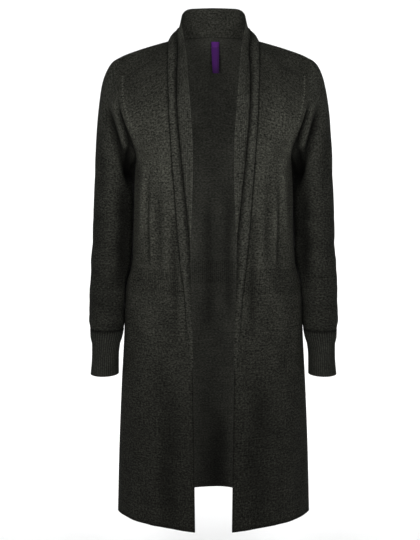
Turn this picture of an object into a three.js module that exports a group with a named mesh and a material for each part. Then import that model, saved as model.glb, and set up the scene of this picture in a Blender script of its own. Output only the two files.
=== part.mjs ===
// A long open-front knitted cardigan with a rolled shawl collar and ribbed cuffs, filled out as if
// worn and held up at the shoulders. Millimetres, +Z up, the front faces -Y, the wearer's left is +X.
// The origin is on the middle line inside the neck, at the height where the shoulders hold it up.
import * as THREE from "three";

// Driving sizes
const WALL = 2; // knitted cloth
const SEAM = 0.3; // gap left between two pieces along a seam
const HALF_COLUMNS = 10; // steps from the side seam to the front edge, or to the centre of the back
const SHOULDER_COLUMNS = 5; // of those on the back, the steps along the shoulder seam
const UPPER_ROWS = 11; // steps from the underarm to the shoulder seam
const ROW_EASE = 1.55; // draws those rows together towards the shoulder
const SAMPLES = 160; // fine points that a curve is spaced out from
const LOW_BLEND = 0.2; // share of those rows over which they settle to the row below them
const HIGH_BLEND = 0.45; // share from which they draw to the line above them
const UNDERARM_Z = -240;
const SHOULDER_Y = 9; // depth of the shoulder seam

const YARN = 0x3a3b36;
const SLEEVE_YARN = 0x33342f;
const ROLL_YARN = 0x41423c;
const LABEL_CLOTH = 0x4b2a63;
const TAB_CLOTH = 0x63397d;

// The torso's section at each height. side is half the width, front and back the depths from the
// side seam, and a power of 2 makes an ellipse. steps is the number of rows up to the next height.
const TORSO = [
  { z: -931, side: 190, front: 122, back: 135, frontPower: 1.5, backPower: 1.9, steps: 3 },
  { z: -800, side: 185.8, front: 115, back: 131, frontPower: 1.66, backPower: 1.95, steps: 3 },
  { z: -670, side: 179.6, front: 109, back: 123, frontPower: 1.85, backPower: 2, steps: 2 },
  { z: -580, side: 174.2, front: 105, back: 115, frontPower: 2.05, backPower: 2.05, steps: 2 },
  { z: -515, side: 171.4, front: 104, back: 107, frontPower: 2.1, backPower: 2.1, steps: 2 },
  { z: -472, side: 167.2, front: 103, back: 100, frontPower: 2.15, backPower: 2.1, steps: 1 },
  { z: -452, side: 161.2, front: 102.5, back: 95, frontPower: 2.2, backPower: 2.1, steps: 1 },
  { z: -430, side: 156.4, front: 102.5, back: 90, frontPower: 2.2, backPower: 2.1, steps: 1 },
  { z: -405, side: 154.4, front: 104, back: 87, frontPower: 2.2, backPower: 2.1, steps: 2 },
  { z: -350, side: 152.2, front: 109, back: 86, frontPower: 2.25, backPower: 2.15, steps: 2 },
  { z: -285, side: 150.6, front: 114, back: 92, frontPower: 2.3, backPower: 2.2, steps: 2 },
  { z: UNDERARM_Z, side: 148, front: 115, back: 97, frontPower: 2.3, backPower: 2.25, steps: 0 },
];

// The front panel's own front edge, which the collar roll covers as far down as the hip
const FRONT_EDGE = [
  { z: -931, x: 34.7 },
  { z: -775, x: 36.3 },
  { z: -625, x: 38.6 },
  { z: -540, x: 42.5 },
  { z: -463, x: 47.5 },
  { z: -411, x: 52 },
  { z: -323, x: 60 },
  { z: UNDERARM_Z, x: 67.5 },
];

// The lapel's free edge, from the waist up to its seam with the collar
const LAPEL_FOOT_Z = -430;
const LAPEL_EDGE = [
  { z: LAPEL_FOOT_Z, x: 47.6, y: -100 },
  { z: -411, x: 44, y: -102 },
  { z: -381, x: 41.2, y: -105 },
  { z: -323, x: 39, y: -110 },
  { z: -265, x: 37.2, y: -113 },
  { z: -208, x: 37.6, y: -110.5 },
  { z: -165, x: 40, y: -103 },
  { z: -121, x: 43.6, y: -90 },
];
const CHEST_SEAM_ROW = 5; // the row above the underarm where collar and lapel meet

// Edges of the panels above the underarm, each a smooth curve through its points
const ARMHOLE_FRONT = [
  { x: 148, y: 0, z: UNDERARM_Z },
  { x: 146.5, y: -31, z: -223 },
  { x: 152, y: -54, z: -197 },
  { x: 163, y: -61, z: -168 },
  { x: 174.5, y: -49, z: -130 },
  { x: 179, y: -27, z: -90 },
  { x: 182.5, y: -6, z: -62 },
  { x: 185, y: SHOULDER_Y, z: -45 },
];
const ARMHOLE_BACK = [
  { x: 148, y: 0, z: UNDERARM_Z },
  { x: 150, y: 34, z: -222 },
  { x: 156, y: 57, z: -190 },
  { x: 163, y: 65, z: -152 },
  { x: 171, y: 59, z: -112 },
  { x: 179, y: 38, z: -74 },
  { x: 185, y: SHOULDER_Y, z: -45 },
];
const SHOULDER = [
  { x: 185, y: SHOULDER_Y, z: -45 },
  { x: 168, y: SHOULDER_Y, z: -36.8 },
  { x: 125, y: SHOULDER_Y, z: -22.3 },
  { x: 79, y: SHOULDER_Y, z: -9.5 },
];
const NECK_FRONT = [
  { x: 67.5, y: -106.5, z: UNDERARM_Z },
  { x: 70, y: -105.5, z: -208 },
  { x: 73.5, y: -98, z: -165 },
  { x: 75.5, y: -85.5, z: -121 },
  { x: 77, y: -66, z: -85 },
  { x: 78, y: -45, z: -53 },
  { x: 79, y: -20, z: -27 },
  { x: 79, y: SHOULDER_Y, z: -9.5 },
];
const NECK_BACK = [
  { x: 79, y: SHOULDER_Y, z: -9.5 },
  { x: 72, y: 35, z: -4 },
  { x: 55, y: 56, z: 2.5 },
  { x: 29, y: 68.5, z: 6.5 },
  { x: 0, y: 72, z: 8 },
];
const CENTRE_BACK = [
  { x: 0, y: 97, z: UNDERARM_Z },
  { x: 0, y: 100, z: -170 },
  { x: 0, y: 96, z: -90 },
  { x: 0, y: 84, z: -30 },
  { x: 0, y: 72, z: 8 },
];

// The direction, in degrees round from straight across, in which a row of a panel meets its armhole
// and its neck or front edge. share runs from the underarm to the shoulder.
const UPPER_TURNS = [
  { share: 0, frontArm: 90, frontNeck: 16, backArm: 90 },
  { share: 0.12, frontArm: 74, frontNeck: 14, backArm: 70 },
  { share: 0.25, frontArm: 52, frontNeck: 12, backArm: 46 },
  { share: 0.4, frontArm: 34, frontNeck: 9, backArm: 30 },
  { share: 0.6, frontArm: 20, frontNeck: 5, backArm: 18 },
  { share: 1, frontArm: 0, frontNeck: 0, backArm: 0 },
];

// The collar's middle and its free edge, from the seam on the chest to the centre of the back
const COLLAR_SEAM = [...NECK_FRONT.slice(3), ...NECK_BACK.slice(1)];
const COLLAR_MIDDLE = [
  { x: 59.5, y: -88.5, z: -121 },
  { x: 62, y: -67, z: -80 },
  { x: 64.5, y: -43, z: -42 },
  { x: 67, y: -17, z: -11 },
  { x: 67.5, y: 8, z: 8 },
  { x: 63.5, y: 32, z: 20 },
  { x: 51, y: 52, z: 30 },
  { x: 28.5, y: 65.5, z: 34.5 },
  { x: 0, y: 69, z: 36 },
];
const COLLAR_EDGE = [
  { x: 43.6, y: -90, z: -121 },
  { x: 48, y: -62, z: -66 },
  { x: 51, y: -43, z: -32 },
  { x: 57.5, y: -11, z: 3 },
  { x: 61, y: 12, z: 25 },
  { x: 59, y: 33, z: 45.5 },
  { x: 49, y: 49, z: 57 },
  { x: 28, y: 62, z: 61.5 },
  { x: 0, y: 66, z: 63 },
];
const COLLAR_COLUMNS = 4;

// The collar roll lies over the seam between panel and collar. outer and inner are how far it
// reaches from that seam on to the panel and the collar, and rise is how far it swells.
const ROLL_FRONT = [
  { z: -625, outer: 3.4, inner: 0.8, rise: 0.3 },
  { z: -582, outer: 4.2, inner: 2.1, rise: 0.8 },
  { z: -541, outer: 5.9, inner: 2.8, rise: 1.4 },
  { z: -501, outer: 6.4, inner: 4, rise: 2 },
  { z: -463, outer: 7.7, inner: 5.3, rise: 2.6 },
  { z: -417, outer: 10, inner: 8, rise: 3.2 },
  { z: -381, outer: 9.9, inner: 9, rise: 3.4 },
  { z: -323, outer: 8.6, inner: 8.3, rise: 3.6 },
  { z: -265, outer: 7.8, inner: 7.9, rise: 3.6 },
  { z: -210, outer: 6.4, inner: 7.5, rise: 3.5 },
  { z: -166, outer: 6, inner: 6.8, rise: 3.5 },
  { z: -121, outer: 6, inner: 6, rise: 3.6 },
  { z: -85, outer: 6.6, inner: 7.2, rise: 3.8 },
  { z: -53, outer: 8, inner: 12, rise: 4 },
  { z: -27, outer: 8.6, inner: 18, rise: 4 },
  { z: -9.5, outer: 8.4, inner: 22.5, rise: 4 },
];
const ROLL_BACK = [
  { x: 79, outer: 8.4, inner: 22.5, rise: 4 },
  { x: 55, outer: 9.6, inner: 27.5, rise: 3.4 },
  { x: 0, outer: 9.8, inner: 28, rise: 3 },
];
const ROLL_FOOT_Z = -625;
const ROLL_COLUMNS = 4;
const ROLL_REACH_ROWS = 4; // rows of the back that the roll may lie over
const ROLL_LIFT = 2.6; // from the middle of the wall beneath to the middle of the roll's edges

// The sleeve's section at each height. outer and inner are distances from the garment's middle,
// depth half the front-to-back size and y its centre. steps is the rows down to the next height.
const SLEEVE = [
  { z: -264, outer: 229.3, inner: 151, depth: 53.5, y: 14, steps: 1 },
  { z: -305, outer: 231.9, inner: 152, depth: 52, y: 17, steps: 2 },
  { z: -350, outer: 234.4, inner: 153, depth: 50, y: 17, steps: 2 },
  { z: -405, outer: 236.6, inner: 155, depth: 47.8, y: 13.5, steps: 1 },
  { z: -430, outer: 238, inner: 157.5, depth: 47, y: 11, steps: 1 },
  { z: -452, outer: 239.2, inner: 161, depth: 46.3, y: 8.5, steps: 1 },
  { z: -472, outer: 240, inner: 165.5, depth: 46, y: 6.5, steps: 2 },
  { z: -515, outer: 241, inner: 172.5, depth: 44.8, y: 1, steps: 1 },
  { z: -547.5, outer: 240.8, inner: 175, depth: 43, y: -3.5, steps: 1 },
  { z: -563, outer: 239.4, inner: 176.8, depth: 39, y: -6, steps: 0 },
];
// How the sleeve leaves the armhole: its direction and the length it keeps it for, as a share of
// the way to the upper arm. share runs round the armhole from the underarm by the front.
const CAP = [
  { share: 0, x: 0.8, y: 0, z: -0.6, reach: 0.85 },
  { share: 0.1, x: 0.72, y: 0.1, z: -0.68, reach: 0.85 },
  { share: 0.22, x: 0.62, y: 0.12, z: -0.78, reach: 0.62 },
  { share: 0.36, x: 0.82, y: -0.05, z: -0.57, reach: 0.5 },
  { share: 0.5, x: 0.965, y: 0, z: -0.263, reach: 0.51 },
  { share: 0.64, x: 0.82, y: 0.05, z: -0.57, reach: 0.5 },
  { share: 0.78, x: 0.62, y: 0, z: -0.78, reach: 0.62 },
  { share: 0.9, x: 0.72, y: 0, z: -0.68, reach: 0.85 },
  { share: 1, x: 0.8, y: 0, z: -0.6, reach: 0.85 },
];
const CAP_ROWS = 8; // from the armhole to the upper arm
const CAP_EASE = 1.2; // draws those rows together towards the armhole
const CAP_LAND = 0.85; // how long a line of the cap has hung straight when it meets the upper arm
const SLEEVE_REST = 2.8; // between the middles of the two walls where the sleeve rests on the side
const REST_MARGIN = 14; // it is held off as if the side were this much nearer the seam

const CUFF = [
  { z: -563.4, outer: 239.2, inner: 177, depth: 38.8, y: -6, steps: 1 },
  { z: -578, outer: 238.6, inner: 180, depth: 36.5, y: -7.5, steps: 1 },
  { z: -593, outer: 235.6, inner: 184.6, depth: 34.5, y: -9, steps: 1 },
  { z: -615, outer: 235.8, inner: 187, depth: 33.5, y: -10, steps: 1 },
  { z: -650.5, outer: 238.8, inner: 187.4, depth: 33.5, y: -11, steps: 0 },
];
const CUFF_RIBS = 42;
const RIB_PROFILE = [0, 0.9, 0.9, 0]; // height of each outer point across one rib

// Soft folds, each along a line given by distance from the middle and height. A fold with a
// negative height is a trough, seen from outside. It fades out at both ends of its line.
const FRONT_FOLDS = [
  { from: [90, -110], to: [58, -580], width: 12, height: -3.5 },
  { from: [92, -600], to: [80, -985], width: 22, height: -4.5 },
  { from: [142, -150], to: [132, -400], width: 15, height: 3.5 },
  { from: [118, -330], to: [118, -470], width: 10, height: 2.5 },
  { from: [140, -580], to: [152, -1150], width: 24, height: 4 },
];
const BACK_FOLDS = [
  { from: [14, -290], to: [10, -540], width: 12, height: 4 },
  { from: [52, -300], to: [58, -580], width: 16, height: -4 },
  { from: [104, -170], to: [96, -450], width: 20, height: -4 },
  { from: [60, -600], to: [74, -1200], width: 26, height: -7 },
  { from: [128, -620], to: [140, -1200], width: 24, height: 5 },
];
const SLEEVE_FRONT_FOLDS = [
  { from: [200, -90], to: [158, -280], width: 12, height: -5 },
  { from: [216, -90], to: [180, -290], width: 12, height: 3 },
  { from: [196, -250], to: [206, -480], width: 14, height: 3 },
  { from: [165, -470], to: [245, -448], width: 9, height: -2 },
  { from: [165, -520], to: [245, -500], width: 8, height: -2 },
];
const SLEEVE_BACK_FOLDS = [
  { from: [206, -110], to: [168, -290], width: 14, height: -4 },
  { from: [196, -250], to: [208, -480], width: 14, height: 3 },
  { from: [165, -440], to: [245, -470], width: 9, height: -3 },
  { from: [165, -500], to: [245, -520], width: 8, height: -2 },
];
const FOLD_FADE = 0.3; // share of a fold's line over which it fades

// The neck label hangs inside the back from its seam, with the small size tab over its top
const LABEL = { x: 3.5, halfWidth: 8.5, thick: 1 };
const LABEL_LINE = [
  [71.85, -1.5],
  [72, -14.5],
  [72.8, -30],
  [74, -46],
  [74.6, -62],
];
const TAB = { halfWidth: 8, steps: 1, gap: 0.4 };

const radians = THREE.MathUtils.degToRad;
const mix = THREE.MathUtils.lerp;
const smooth = THREE.MathUtils.smoothstep;
const range = (count) => Array.from({ length: count }, (_, i) => i);
const vector = (p) => new THREE.Vector3(p.x, p.y, p.z);
const curve = (points) => new THREE.CatmullRomCurve3(points.map(vector), false, "centripetal");

/** A smooth function of `by` through one column of a table, which never overshoots its rows. */
function track(rows, key, by = "z") {
  const sorted = [...rows].sort((a, b) => a[by] - b[by]);
  const at = sorted.map((row) => row[by]);
  const value = sorted.map((row) => row[key]);
  const rate = at.slice(1).map((x, i) => (value[i + 1] - value[i]) / (x - at[i]));
  const slope = value.map((_, i) => {
    if (i === 0 || i === value.length - 1) return rate[Math.min(i, rate.length - 1)];
    const [before, after] = [rate[i - 1], rate[i]];
    return before * after <= 0 ? 0 : (2 * before * after) / (before + after);
  });
  return (x) => {
    const found = at.findIndex((_, k) => k > 0 && x <= at[k]);
    const i = found < 0 ? at.length - 2 : found - 1;
    const span = at[i + 1] - at[i];
    const t = THREE.MathUtils.clamp((x - at[i]) / span, 0, 1);
    const [t2, t3] = [t * t, t * t * t];
    const ends = (2 * t3 - 3 * t2 + 1) * value[i] + (3 * t2 - 2 * t3) * value[i + 1];
    return ends + span * ((t3 - 2 * t2 + t) * slope[i] + (t3 - t2) * slope[i + 1]);
  };
}

/** One smooth function for each column of a table but the one it is read by. */
function tracks(rows, by = "z") {
  const keys = Object.keys(rows[0]).filter((key) => key !== by && key !== "steps");
  return Object.fromEntries(keys.map((key) => [key, track(rows, key, by)]));
}

/** The heights of a table's grid rows, in its own order. */
function levels(rows) {
  return rows.flatMap((row, i) => {
    if (row.steps === 0) return [row.z];
    return range(row.steps).map((k) => mix(row.z, rows[i + 1].z, k / row.steps));
  });
}

/** The point that lies a given length along a fine line, or beyond its end. */
function alongLine(line, length) {
  let left = length;
  let i = 0;
  while (i < line.length - 2 && left > line[i].distanceTo(line[i + 1])) {
    left -= line[i].distanceTo(line[i + 1]);
    i++;
  }
  const step = line[i + 1].clone().sub(line[i]);
  return line[i].clone().addScaledVector(step, left / step.length());
}

/** Points at equal lengths along a fine line. */
function evenly(line, count) {
  const total = line.slice(1).reduce((sum, p, i) => sum + p.distanceTo(line[i]), 0);
  return range(count + 1).map((k) => alongLine(line, (total * k) / count));
}

/** A smooth arc between two points that leaves and arrives in given directions. */
function arc(from, leave, to, arrive, t) {
  const [t2, t3] = [t * t, t * t * t];
  return new THREE.Vector3()
    .addScaledVector(from, 2 * t3 - 3 * t2 + 1)
    .addScaledVector(leave, t3 - 2 * t2 + t)
    .addScaledVector(to, 3 * t2 - 2 * t3)
    .addScaledVector(arrive, t3 - t2);
}

const torso = tracks(TORSO);
const frontEdge = tracks(FRONT_EDGE);
const lapelEdge = tracks(LAPEL_EDGE);
const turns = tracks(UPPER_TURNS, "share");

/** A point of the torso's section at height z, at an angle from the side seam. */
function sectionPoint(z, half, angle) {
  const power = torso[half + "Power"](z);
  const sign = half === "front" ? -1 : 1;
  const x = torso.side(z) * Math.cos(angle) ** (2 / power);
  return new THREE.Vector3(x, sign * torso[half](z) * Math.sin(angle) ** (2 / power), z);
}

/** The angle at which the front section reaches a distance x from the middle. */
function angleAt(z, x) {
  return Math.acos((x / torso.side(z)) ** (torso.frontPower(z) / 2));
}

/** Part of the torso's section from the side seam to an angle, evenly spaced. */
function sectionRow(z, half, last, count) {
  const fine = range(SAMPLES + 1).map((k) => sectionPoint(z, half, (last * k) / SAMPLES));
  return evenly(fine, count);
}

/** The edge of a panel from underarm to shoulder, its rows drawn together towards the top. */
function easedEdge(points) {
  const fine = curve(points).getSpacedPoints(SAMPLES);
  return range(UPPER_ROWS + 1).map((i) => {
    const eased = Math.sin((Math.PI / 2) * (i / UPPER_ROWS)) ** ROW_EASE;
    const z = mix(fine[0].z, fine[SAMPLES].z, eased);
    const k = Math.max(1, fine.findIndex((p) => p.z >= z - 1e-6));
    return fine[k - 1].clone().lerp(fine[k], (z - fine[k - 1].z) / (fine[k].z - fine[k - 1].z));
  });
}

/** One row of arcs from armhole to neck, which turn by the given angles at their two ends. */
function arcRow(armhole, neck, armTurn, neckTurn) {
  const chord = neck.clone().sub(armhole);
  const flat = Math.hypot(chord.x, chord.y);
  const reach = chord.length();
  const side = Math.sign(neck.y - armhole.y) || 1;
  const direction = (turn) => {
    const [x, y] = [-Math.cos(radians(turn)), side * Math.sin(radians(turn))];
    return new THREE.Vector3(x, y, chord.z / flat).multiplyScalar(reach);
  };
  const [leave, arrive] = [direction(armTurn), direction(neckTurn)];
  return range(HALF_COLUMNS + 1).map((k) => arc(armhole, leave, neck, arrive, k / HALF_COLUMNS));
}

/** Rows above the underarm: arcs, corrected to join the row below them and the line above. */
function upperRows(armhole, neck, half, below, above) {
  const arcs = range(UPPER_ROWS + 1).map((i) => {
    const share = i / UPPER_ROWS;
    const neckTurn = half === "front" ? turns.frontNeck(share) : 0;
    return arcRow(armhole[i], neck[i], turns[half + "Arm"](share), neckTurn);
  });
  const last = arcs[UPPER_ROWS];
  const belowMiss = arcs[0].map((p, k) => below[k].clone().sub(p));
  const aboveMiss = last.map((p, k) => above[k].clone().sub(p));
  return arcs.map((row, i) => {
    const share = i / UPPER_ROWS;
    const low = 1 - smooth(share, 0, LOW_BLEND);
    const high = smooth(share, HIGH_BLEND, 1);
    const moved = (p, k) => p.addScaledVector(belowMiss[k], low).addScaledVector(aboveMiss[k], high);
    return row.map(moved);
  });
}

/** A unit normal at each point of a grid, across its row and column directions. */
function gridNormals(grid, sign, closed) {
  const [rows, columns] = [grid.length, grid[0].length];
  return grid.map((row, i) =>
    row.map((_, j) => {
      const up = grid[Math.min(i + 1, rows - 1)][j].clone().sub(grid[Math.max(i - 1, 0)][j]);
      const after = closed ? (j + 1) % columns : Math.min(j + 1, columns - 1);
      const before = closed ? (j + columns - 1) % columns : Math.max(j - 1, 0);
      return up.cross(row[after].clone().sub(row[before])).normalize().multiplyScalar(sign);
    }),
  );
}

/** How far the folds of a list move the cloth outwards at a distance x from the middle. */
function foldHeight(folds, x, z) {
  return folds.reduce((sum, fold) => {
    const [run, rise] = [fold.to[0] - fold.from[0], fold.to[1] - fold.from[1]];
    const length = Math.hypot(run, rise);
    const [fromX, fromZ] = [x - fold.from[0], z - fold.from[1]];
    const t = THREE.MathUtils.clamp((fromX * run + fromZ * rise) / length ** 2, 0, 1);
    const off = (fromX * rise - fromZ * run) / length / fold.width;
    const fade = smooth(t, 0, FOLD_FADE) * smooth(1 - t, 0, FOLD_FADE);
    return sum + fold.height * fade * Math.exp(-off * off);
  }, 0);
}

/** Cloth points from a grid: each has its place and the normal that its wall is built along. The
 * list of folds may differ from column to column. */
function cloth(grid, sign, foldsAt = () => [], closed = false) {
  const flatNormals = gridNormals(grid, sign, closed);
  const folded = grid.map((row, i) =>
    row.map((p, j) => {
      const height = foldHeight(foldsAt(j), p.x, p.z);
      return p.clone().addScaledVector(flatNormals[i][j], height);
    }),
  );
  const normals = gridNormals(folded, sign, closed);
  return folded.map((row, i) => row.map((place, j) => ({ place, normal: normals[i][j] })));
}

const lowerLevels = levels(TORSO);
const UNDERARM_ROW = lowerLevels.length - 1;
const TOP_ROW = UNDERARM_ROW + UPPER_ROWS;
const CHEST_ROW = UNDERARM_ROW + CHEST_SEAM_ROW;

/** Half a front: rows from hem to shoulder, columns from side seam to front edge. */
function frontHalf() {
  const edgeAngle = (z) => angleAt(z, frontEdge.x(z));
  const lower = lowerLevels.map((z) => sectionRow(z, "front", edgeAngle(z), HALF_COLUMNS));
  const below = lower[UNDERARM_ROW];
  const neck = easedEdge([below[HALF_COLUMNS], ...NECK_FRONT.slice(1)]);
  const armhole = curve(ARMHOLE_FRONT).getSpacedPoints(UPPER_ROWS);
  const above = curve(SHOULDER).getSpacedPoints(HALF_COLUMNS);
  const upper = upperRows(armhole, neck, "front", below, above);
  return cloth([...lower, ...upper.slice(1)], 1, () => FRONT_FOLDS);
}

/** Half the back: rows from hem to shoulder and neck, columns from side seam to the middle. */
function backHalf() {
  const lower = lowerLevels.map((z) => sectionRow(z, "back", Math.PI / 2, HALF_COLUMNS));
  const below = lower[UNDERARM_ROW];
  const middle = easedEdge([below[HALF_COLUMNS], ...CENTRE_BACK.slice(1)]);
  const armhole = curve(ARMHOLE_BACK).getSpacedPoints(UPPER_ROWS);
  const neck = curve(NECK_BACK).getSpacedPoints(HALF_COLUMNS - SHOULDER_COLUMNS);
  const above = [...curve(SHOULDER).getSpacedPoints(SHOULDER_COLUMNS), ...neck.slice(1)];
  const upper = upperRows(armhole, middle, "back", below, above);
  return cloth([...lower, ...upper.slice(1)], -1, () => BACK_FOLDS);
}

/** The seam between panels and collar, from the lapel's foot to the centre of the back. */
function neckSeam(front, back, firstRow) {
  const rows = front.slice(firstRow).map((row) => row[HALF_COLUMNS]);
  return [...rows, ...back[TOP_ROW].slice(SHOULDER_COLUMNS + 1)];
}

/** Half the collar: rows from the chest seam to the centre of the back, columns to its free edge. */
function collarHalf(front, back) {
  const lines = [COLLAR_SEAM, COLLAR_MIDDLE, COLLAR_EDGE].map(curve);
  const fine = lines[0].getPoints(SAMPLES);
  const grid = neckSeam(front, back, CHEST_ROW).map(({ place }) => {
    const distance = fine.map((p) => p.distanceTo(place));
    const t = distance.indexOf(Math.min(...distance)) / SAMPLES;
    const across = [place, lines[1].getPoint(t), lines[2].getPoint(t)];
    return curve(across).getSpacedPoints(COLLAR_COLUMNS);
  });
  return cloth(grid, 1);
}

/** A lapel: rows from its foot to the chest seam, columns from the panel to its free edge. */
function lapelStrip(front, collar) {
  const first = lowerLevels.indexOf(LAPEL_FOOT_Z);
  const rows = range(CHEST_ROW - first).map((i) => {
    const start = front[first + i][HALF_COLUMNS].place;
    const edge = new THREE.Vector3(lapelEdge.x(start.z), lapelEdge.y(start.z), start.z);
    return range(COLLAR_COLUMNS + 1).map((k) => start.clone().lerp(edge, k / COLLAR_COLUMNS));
  });
  return cloth([...rows, collar[0].map((point) => point.place.clone())], 1);
}

/** How far out a panel reaches at a depth y from the side seam, at a height z below the underarm. */
function sideAt(panel, y, z) {
  const i = Math.max(1, lowerLevels.findIndex((height) => height >= z));
  const reach = [i - 1, i].map((row) => {
    const k = panel[row].findIndex(({ place }, j) => j > 0 && Math.abs(place.y) >= y);
    const [a, b] = [panel[row][k - 1].place, panel[row][k].place];
    return mix(a.x, b.x, (y - Math.abs(a.y)) / (Math.abs(b.y) - Math.abs(a.y)));
  });
  return mix(...reach, (z - lowerLevels[i - 1]) / (lowerLevels[i] - lowerLevels[i - 1]));
}

/** A sleeve: rows from the armhole down to the cuff, columns round it from the underarm. */
function sleeveTube(front, back) {
  const columns = 2 * UPPER_ROWS;
  const edge = (panel) => panel.slice(UNDERARM_ROW).map((row) => row[0].place);
  const armhole = [...edge(front), ...edge(back).reverse().slice(1, -1)];
  const sleeve = tracks(SLEEVE);
  const ring = (z) =>
    range(columns).map((j) => {
      const angle = (2 * Math.PI * j) / columns;
      const [outer, inner] = [sleeve.outer(z), sleeve.inner(z)];
      const x = (outer + inner) / 2 - ((outer - inner) / 2) * Math.cos(angle);
      const y = sleeve.y(z) - sleeve.depth(z) * Math.sin(angle);
      const near = Math.max(Math.abs(y) - REST_MARGIN, 0);
      const rest = sideAt(y < 0 ? front : back, near, z) + SLEEVE_REST;
      return new THREE.Vector3(Math.max(x, rest), y, z);
    });
  const cap = tracks(CAP, "share");
  const arm = ring(SLEEVE[0].z);
  const capRows = range(CAP_ROWS).map((i) =>
    armhole.map((start, j) => {
      const share = j / columns;
      const length = start.distanceTo(arm[j]);
      const leave = new THREE.Vector3(cap.x(share), cap.y(share), cap.z(share));
      const arrive = new THREE.Vector3(0, 0, -CAP_LAND * length);
      leave.setLength(cap.reach(share) * length);
      return arc(start, leave, arm[j], arrive, (i / CAP_ROWS) ** CAP_EASE);
    }),
  );
  const foldsAt = (j) => (j < UPPER_ROWS ? SLEEVE_FRONT_FOLDS : SLEEVE_BACK_FOLDS);
  return cloth([...capRows, ...levels(SLEEVE).map(ring)], 1, foldsAt, true);
}

/** The collar roll, from the hip to the centre of the back, made from the points it lies on. */
function rollStrip(front, back, lapel, collar) {
  const first = lowerLevels.findIndex((z) => z >= ROLL_FOOT_Z);
  const lapelFoot = lowerLevels.indexOf(LAPEL_FOOT_Z);
  const frontSize = tracks(ROLL_FRONT);
  const backSize = tracks(ROLL_BACK, "x");
  const sized = (tables, at) => ({
    outer: tables.outer(at),
    inner: tables.inner(at),
    rise: tables.rise(at),
  });
  const stations = range(TOP_ROW - first + 1).map((k) => {
    const row = first + k;
    const panel = [...front[row]].reverse();
    const free = row < CHEST_ROW ? lapel[row - lapelFoot] : collar[row - CHEST_ROW];
    return { panel, free, size: sized(frontSize, panel[0].place.z) };
  });
  const neckStations = range(HALF_COLUMNS - SHOULDER_COLUMNS).map((k) => {
    const panel = range(ROLL_REACH_ROWS).map((i) => back[TOP_ROW - i][SHOULDER_COLUMNS + 1 + k]);
    return { panel, free: collar[TOP_ROW - CHEST_ROW + 1 + k], size: sized(backSize, panel[0].place.x) };
  });
  const grid = [...stations, ...neckStations].map(({ panel, free, size }) => {
    const line = (points) => points.map((point) => point.place);
    const outer = alongLine(line(panel), size.outer).addScaledVector(panel[1].normal, ROLL_LIFT);
    const away = panel[0].place.clone().multiplyScalar(2).sub(panel[1].place);
    const beyond = free ? line(free) : [panel[0].place, away];
    const freeNormal = free ? free[1].normal : panel[0].normal;
    const inner = alongLine(beyond, size.inner).addScaledVector(freeNormal, ROLL_LIFT);
    const swell = panel[1].normal.clone().add(freeNormal).normalize().multiplyScalar(size.rise);
    return range(ROLL_COLUMNS + 1).map((k) => {
      const t = k / ROLL_COLUMNS;
      return outer.clone().lerp(inner, t).addScaledVector(swell, Math.sin(Math.PI * t));
    });
  });
  return cloth(grid, 1);
}

/** Parts two pieces along a seam by a small gap, and gives their edges one shared normal, so that
 * their end faces stay parallel. Each station lists the points of one piece and of the other. */
function sew(stations, into, closed = false) {
  const last = stations.length - 1;
  const place = (k) => stations[k][0][0].place.clone();
  const parted = stations.map(([one, other], k) => {
    const before = closed ? (k + last) % (last + 1) : Math.max(k - 1, 0);
    const after = closed ? (k + 1) % (last + 1) : Math.min(k + 1, last);
    const along = place(after).sub(place(before)).normalize();
    const normal = new THREE.Vector3();
    [...one, ...other].forEach((point) => normal.add(point.normal));
    normal.addScaledVector(along, -normal.dot(along)).normalize();
    const across = along.clone().cross(normal);
    const side = Math.sign(across.dot(into[k].clone().sub(place(k))));
    return { one, other, normal, shift: across.multiplyScalar((side * SEAM) / 2) };
  });
  parted.forEach(({ one, other, normal, shift }) => {
    one.forEach((point) => point.place.sub(shift));
    other.forEach((point) => point.place.add(shift));
    [...one, ...other].forEach((point) => point.normal.copy(normal));
  });
}

/** Gives the points of several pieces that meet at a corner their mean normal. */
function meet(points) {
  const normal = new THREE.Vector3();
  points.forEach((point) => normal.add(point.normal));
  normal.normalize();
  points.forEach((point) => point.normal.copy(normal));
}

/** Parts a panel from the other along the side and the shoulder, where both have upright ends. */
function partPanel(panel, towards, shoulderColumns) {
  const shift = (towards * SEAM) / 2;
  range(UNDERARM_ROW + 1).forEach((i) => {
    panel[i][0].place.y += shift;
    panel[i][0].normal.setY(0).normalize();
  });
  range(shoulderColumns + 1).forEach((j) => {
    panel[TOP_ROW][j].place.y += shift;
    panel[TOP_ROW][j].normal.setY(0).normalize();
  });
}

/** Keeps a row or column that lies on the middle line on it, with upright or level normals. */
function centre(points) {
  points.forEach(({ place, normal }) => {
    place.setX(0);
    normal.setX(0).normalize();
  });
}

/** Turns a row of points level, so that its end face is flat. */
function level(points) {
  points.forEach(({ normal }) => normal.setZ(0).normalize());
}

/** The same piece on the other side of the middle. */
function mirror(piece) {
  const flip = (v) => new THREE.Vector3(-v.x, v.y, v.z);
  return piece.map((row) => row.map(({ place, normal }) => ({ place: flip(place), normal: flip(normal) })));
}

/** An indexed geometry with its faces turned outwards. */
function solid(points, faces) {
  const volume = range(faces.length / 3).reduce((sum, i) => {
    const [a, b, c] = [0, 1, 2].map((k) => points[faces[3 * i + k]]);
    return sum + a.dot(b.clone().cross(c));
  }, 0);
  const geometry = new THREE.BufferGeometry();
  const numbers = points.flatMap((p) => [p.x, p.y, p.z]);
  geometry.setAttribute("position", new THREE.Float32BufferAttribute(numbers, 3));
  geometry.setIndex(volume > 0 ? faces : faces.reverse());
  geometry.computeVertexNormals();
  return geometry;
}

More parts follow.
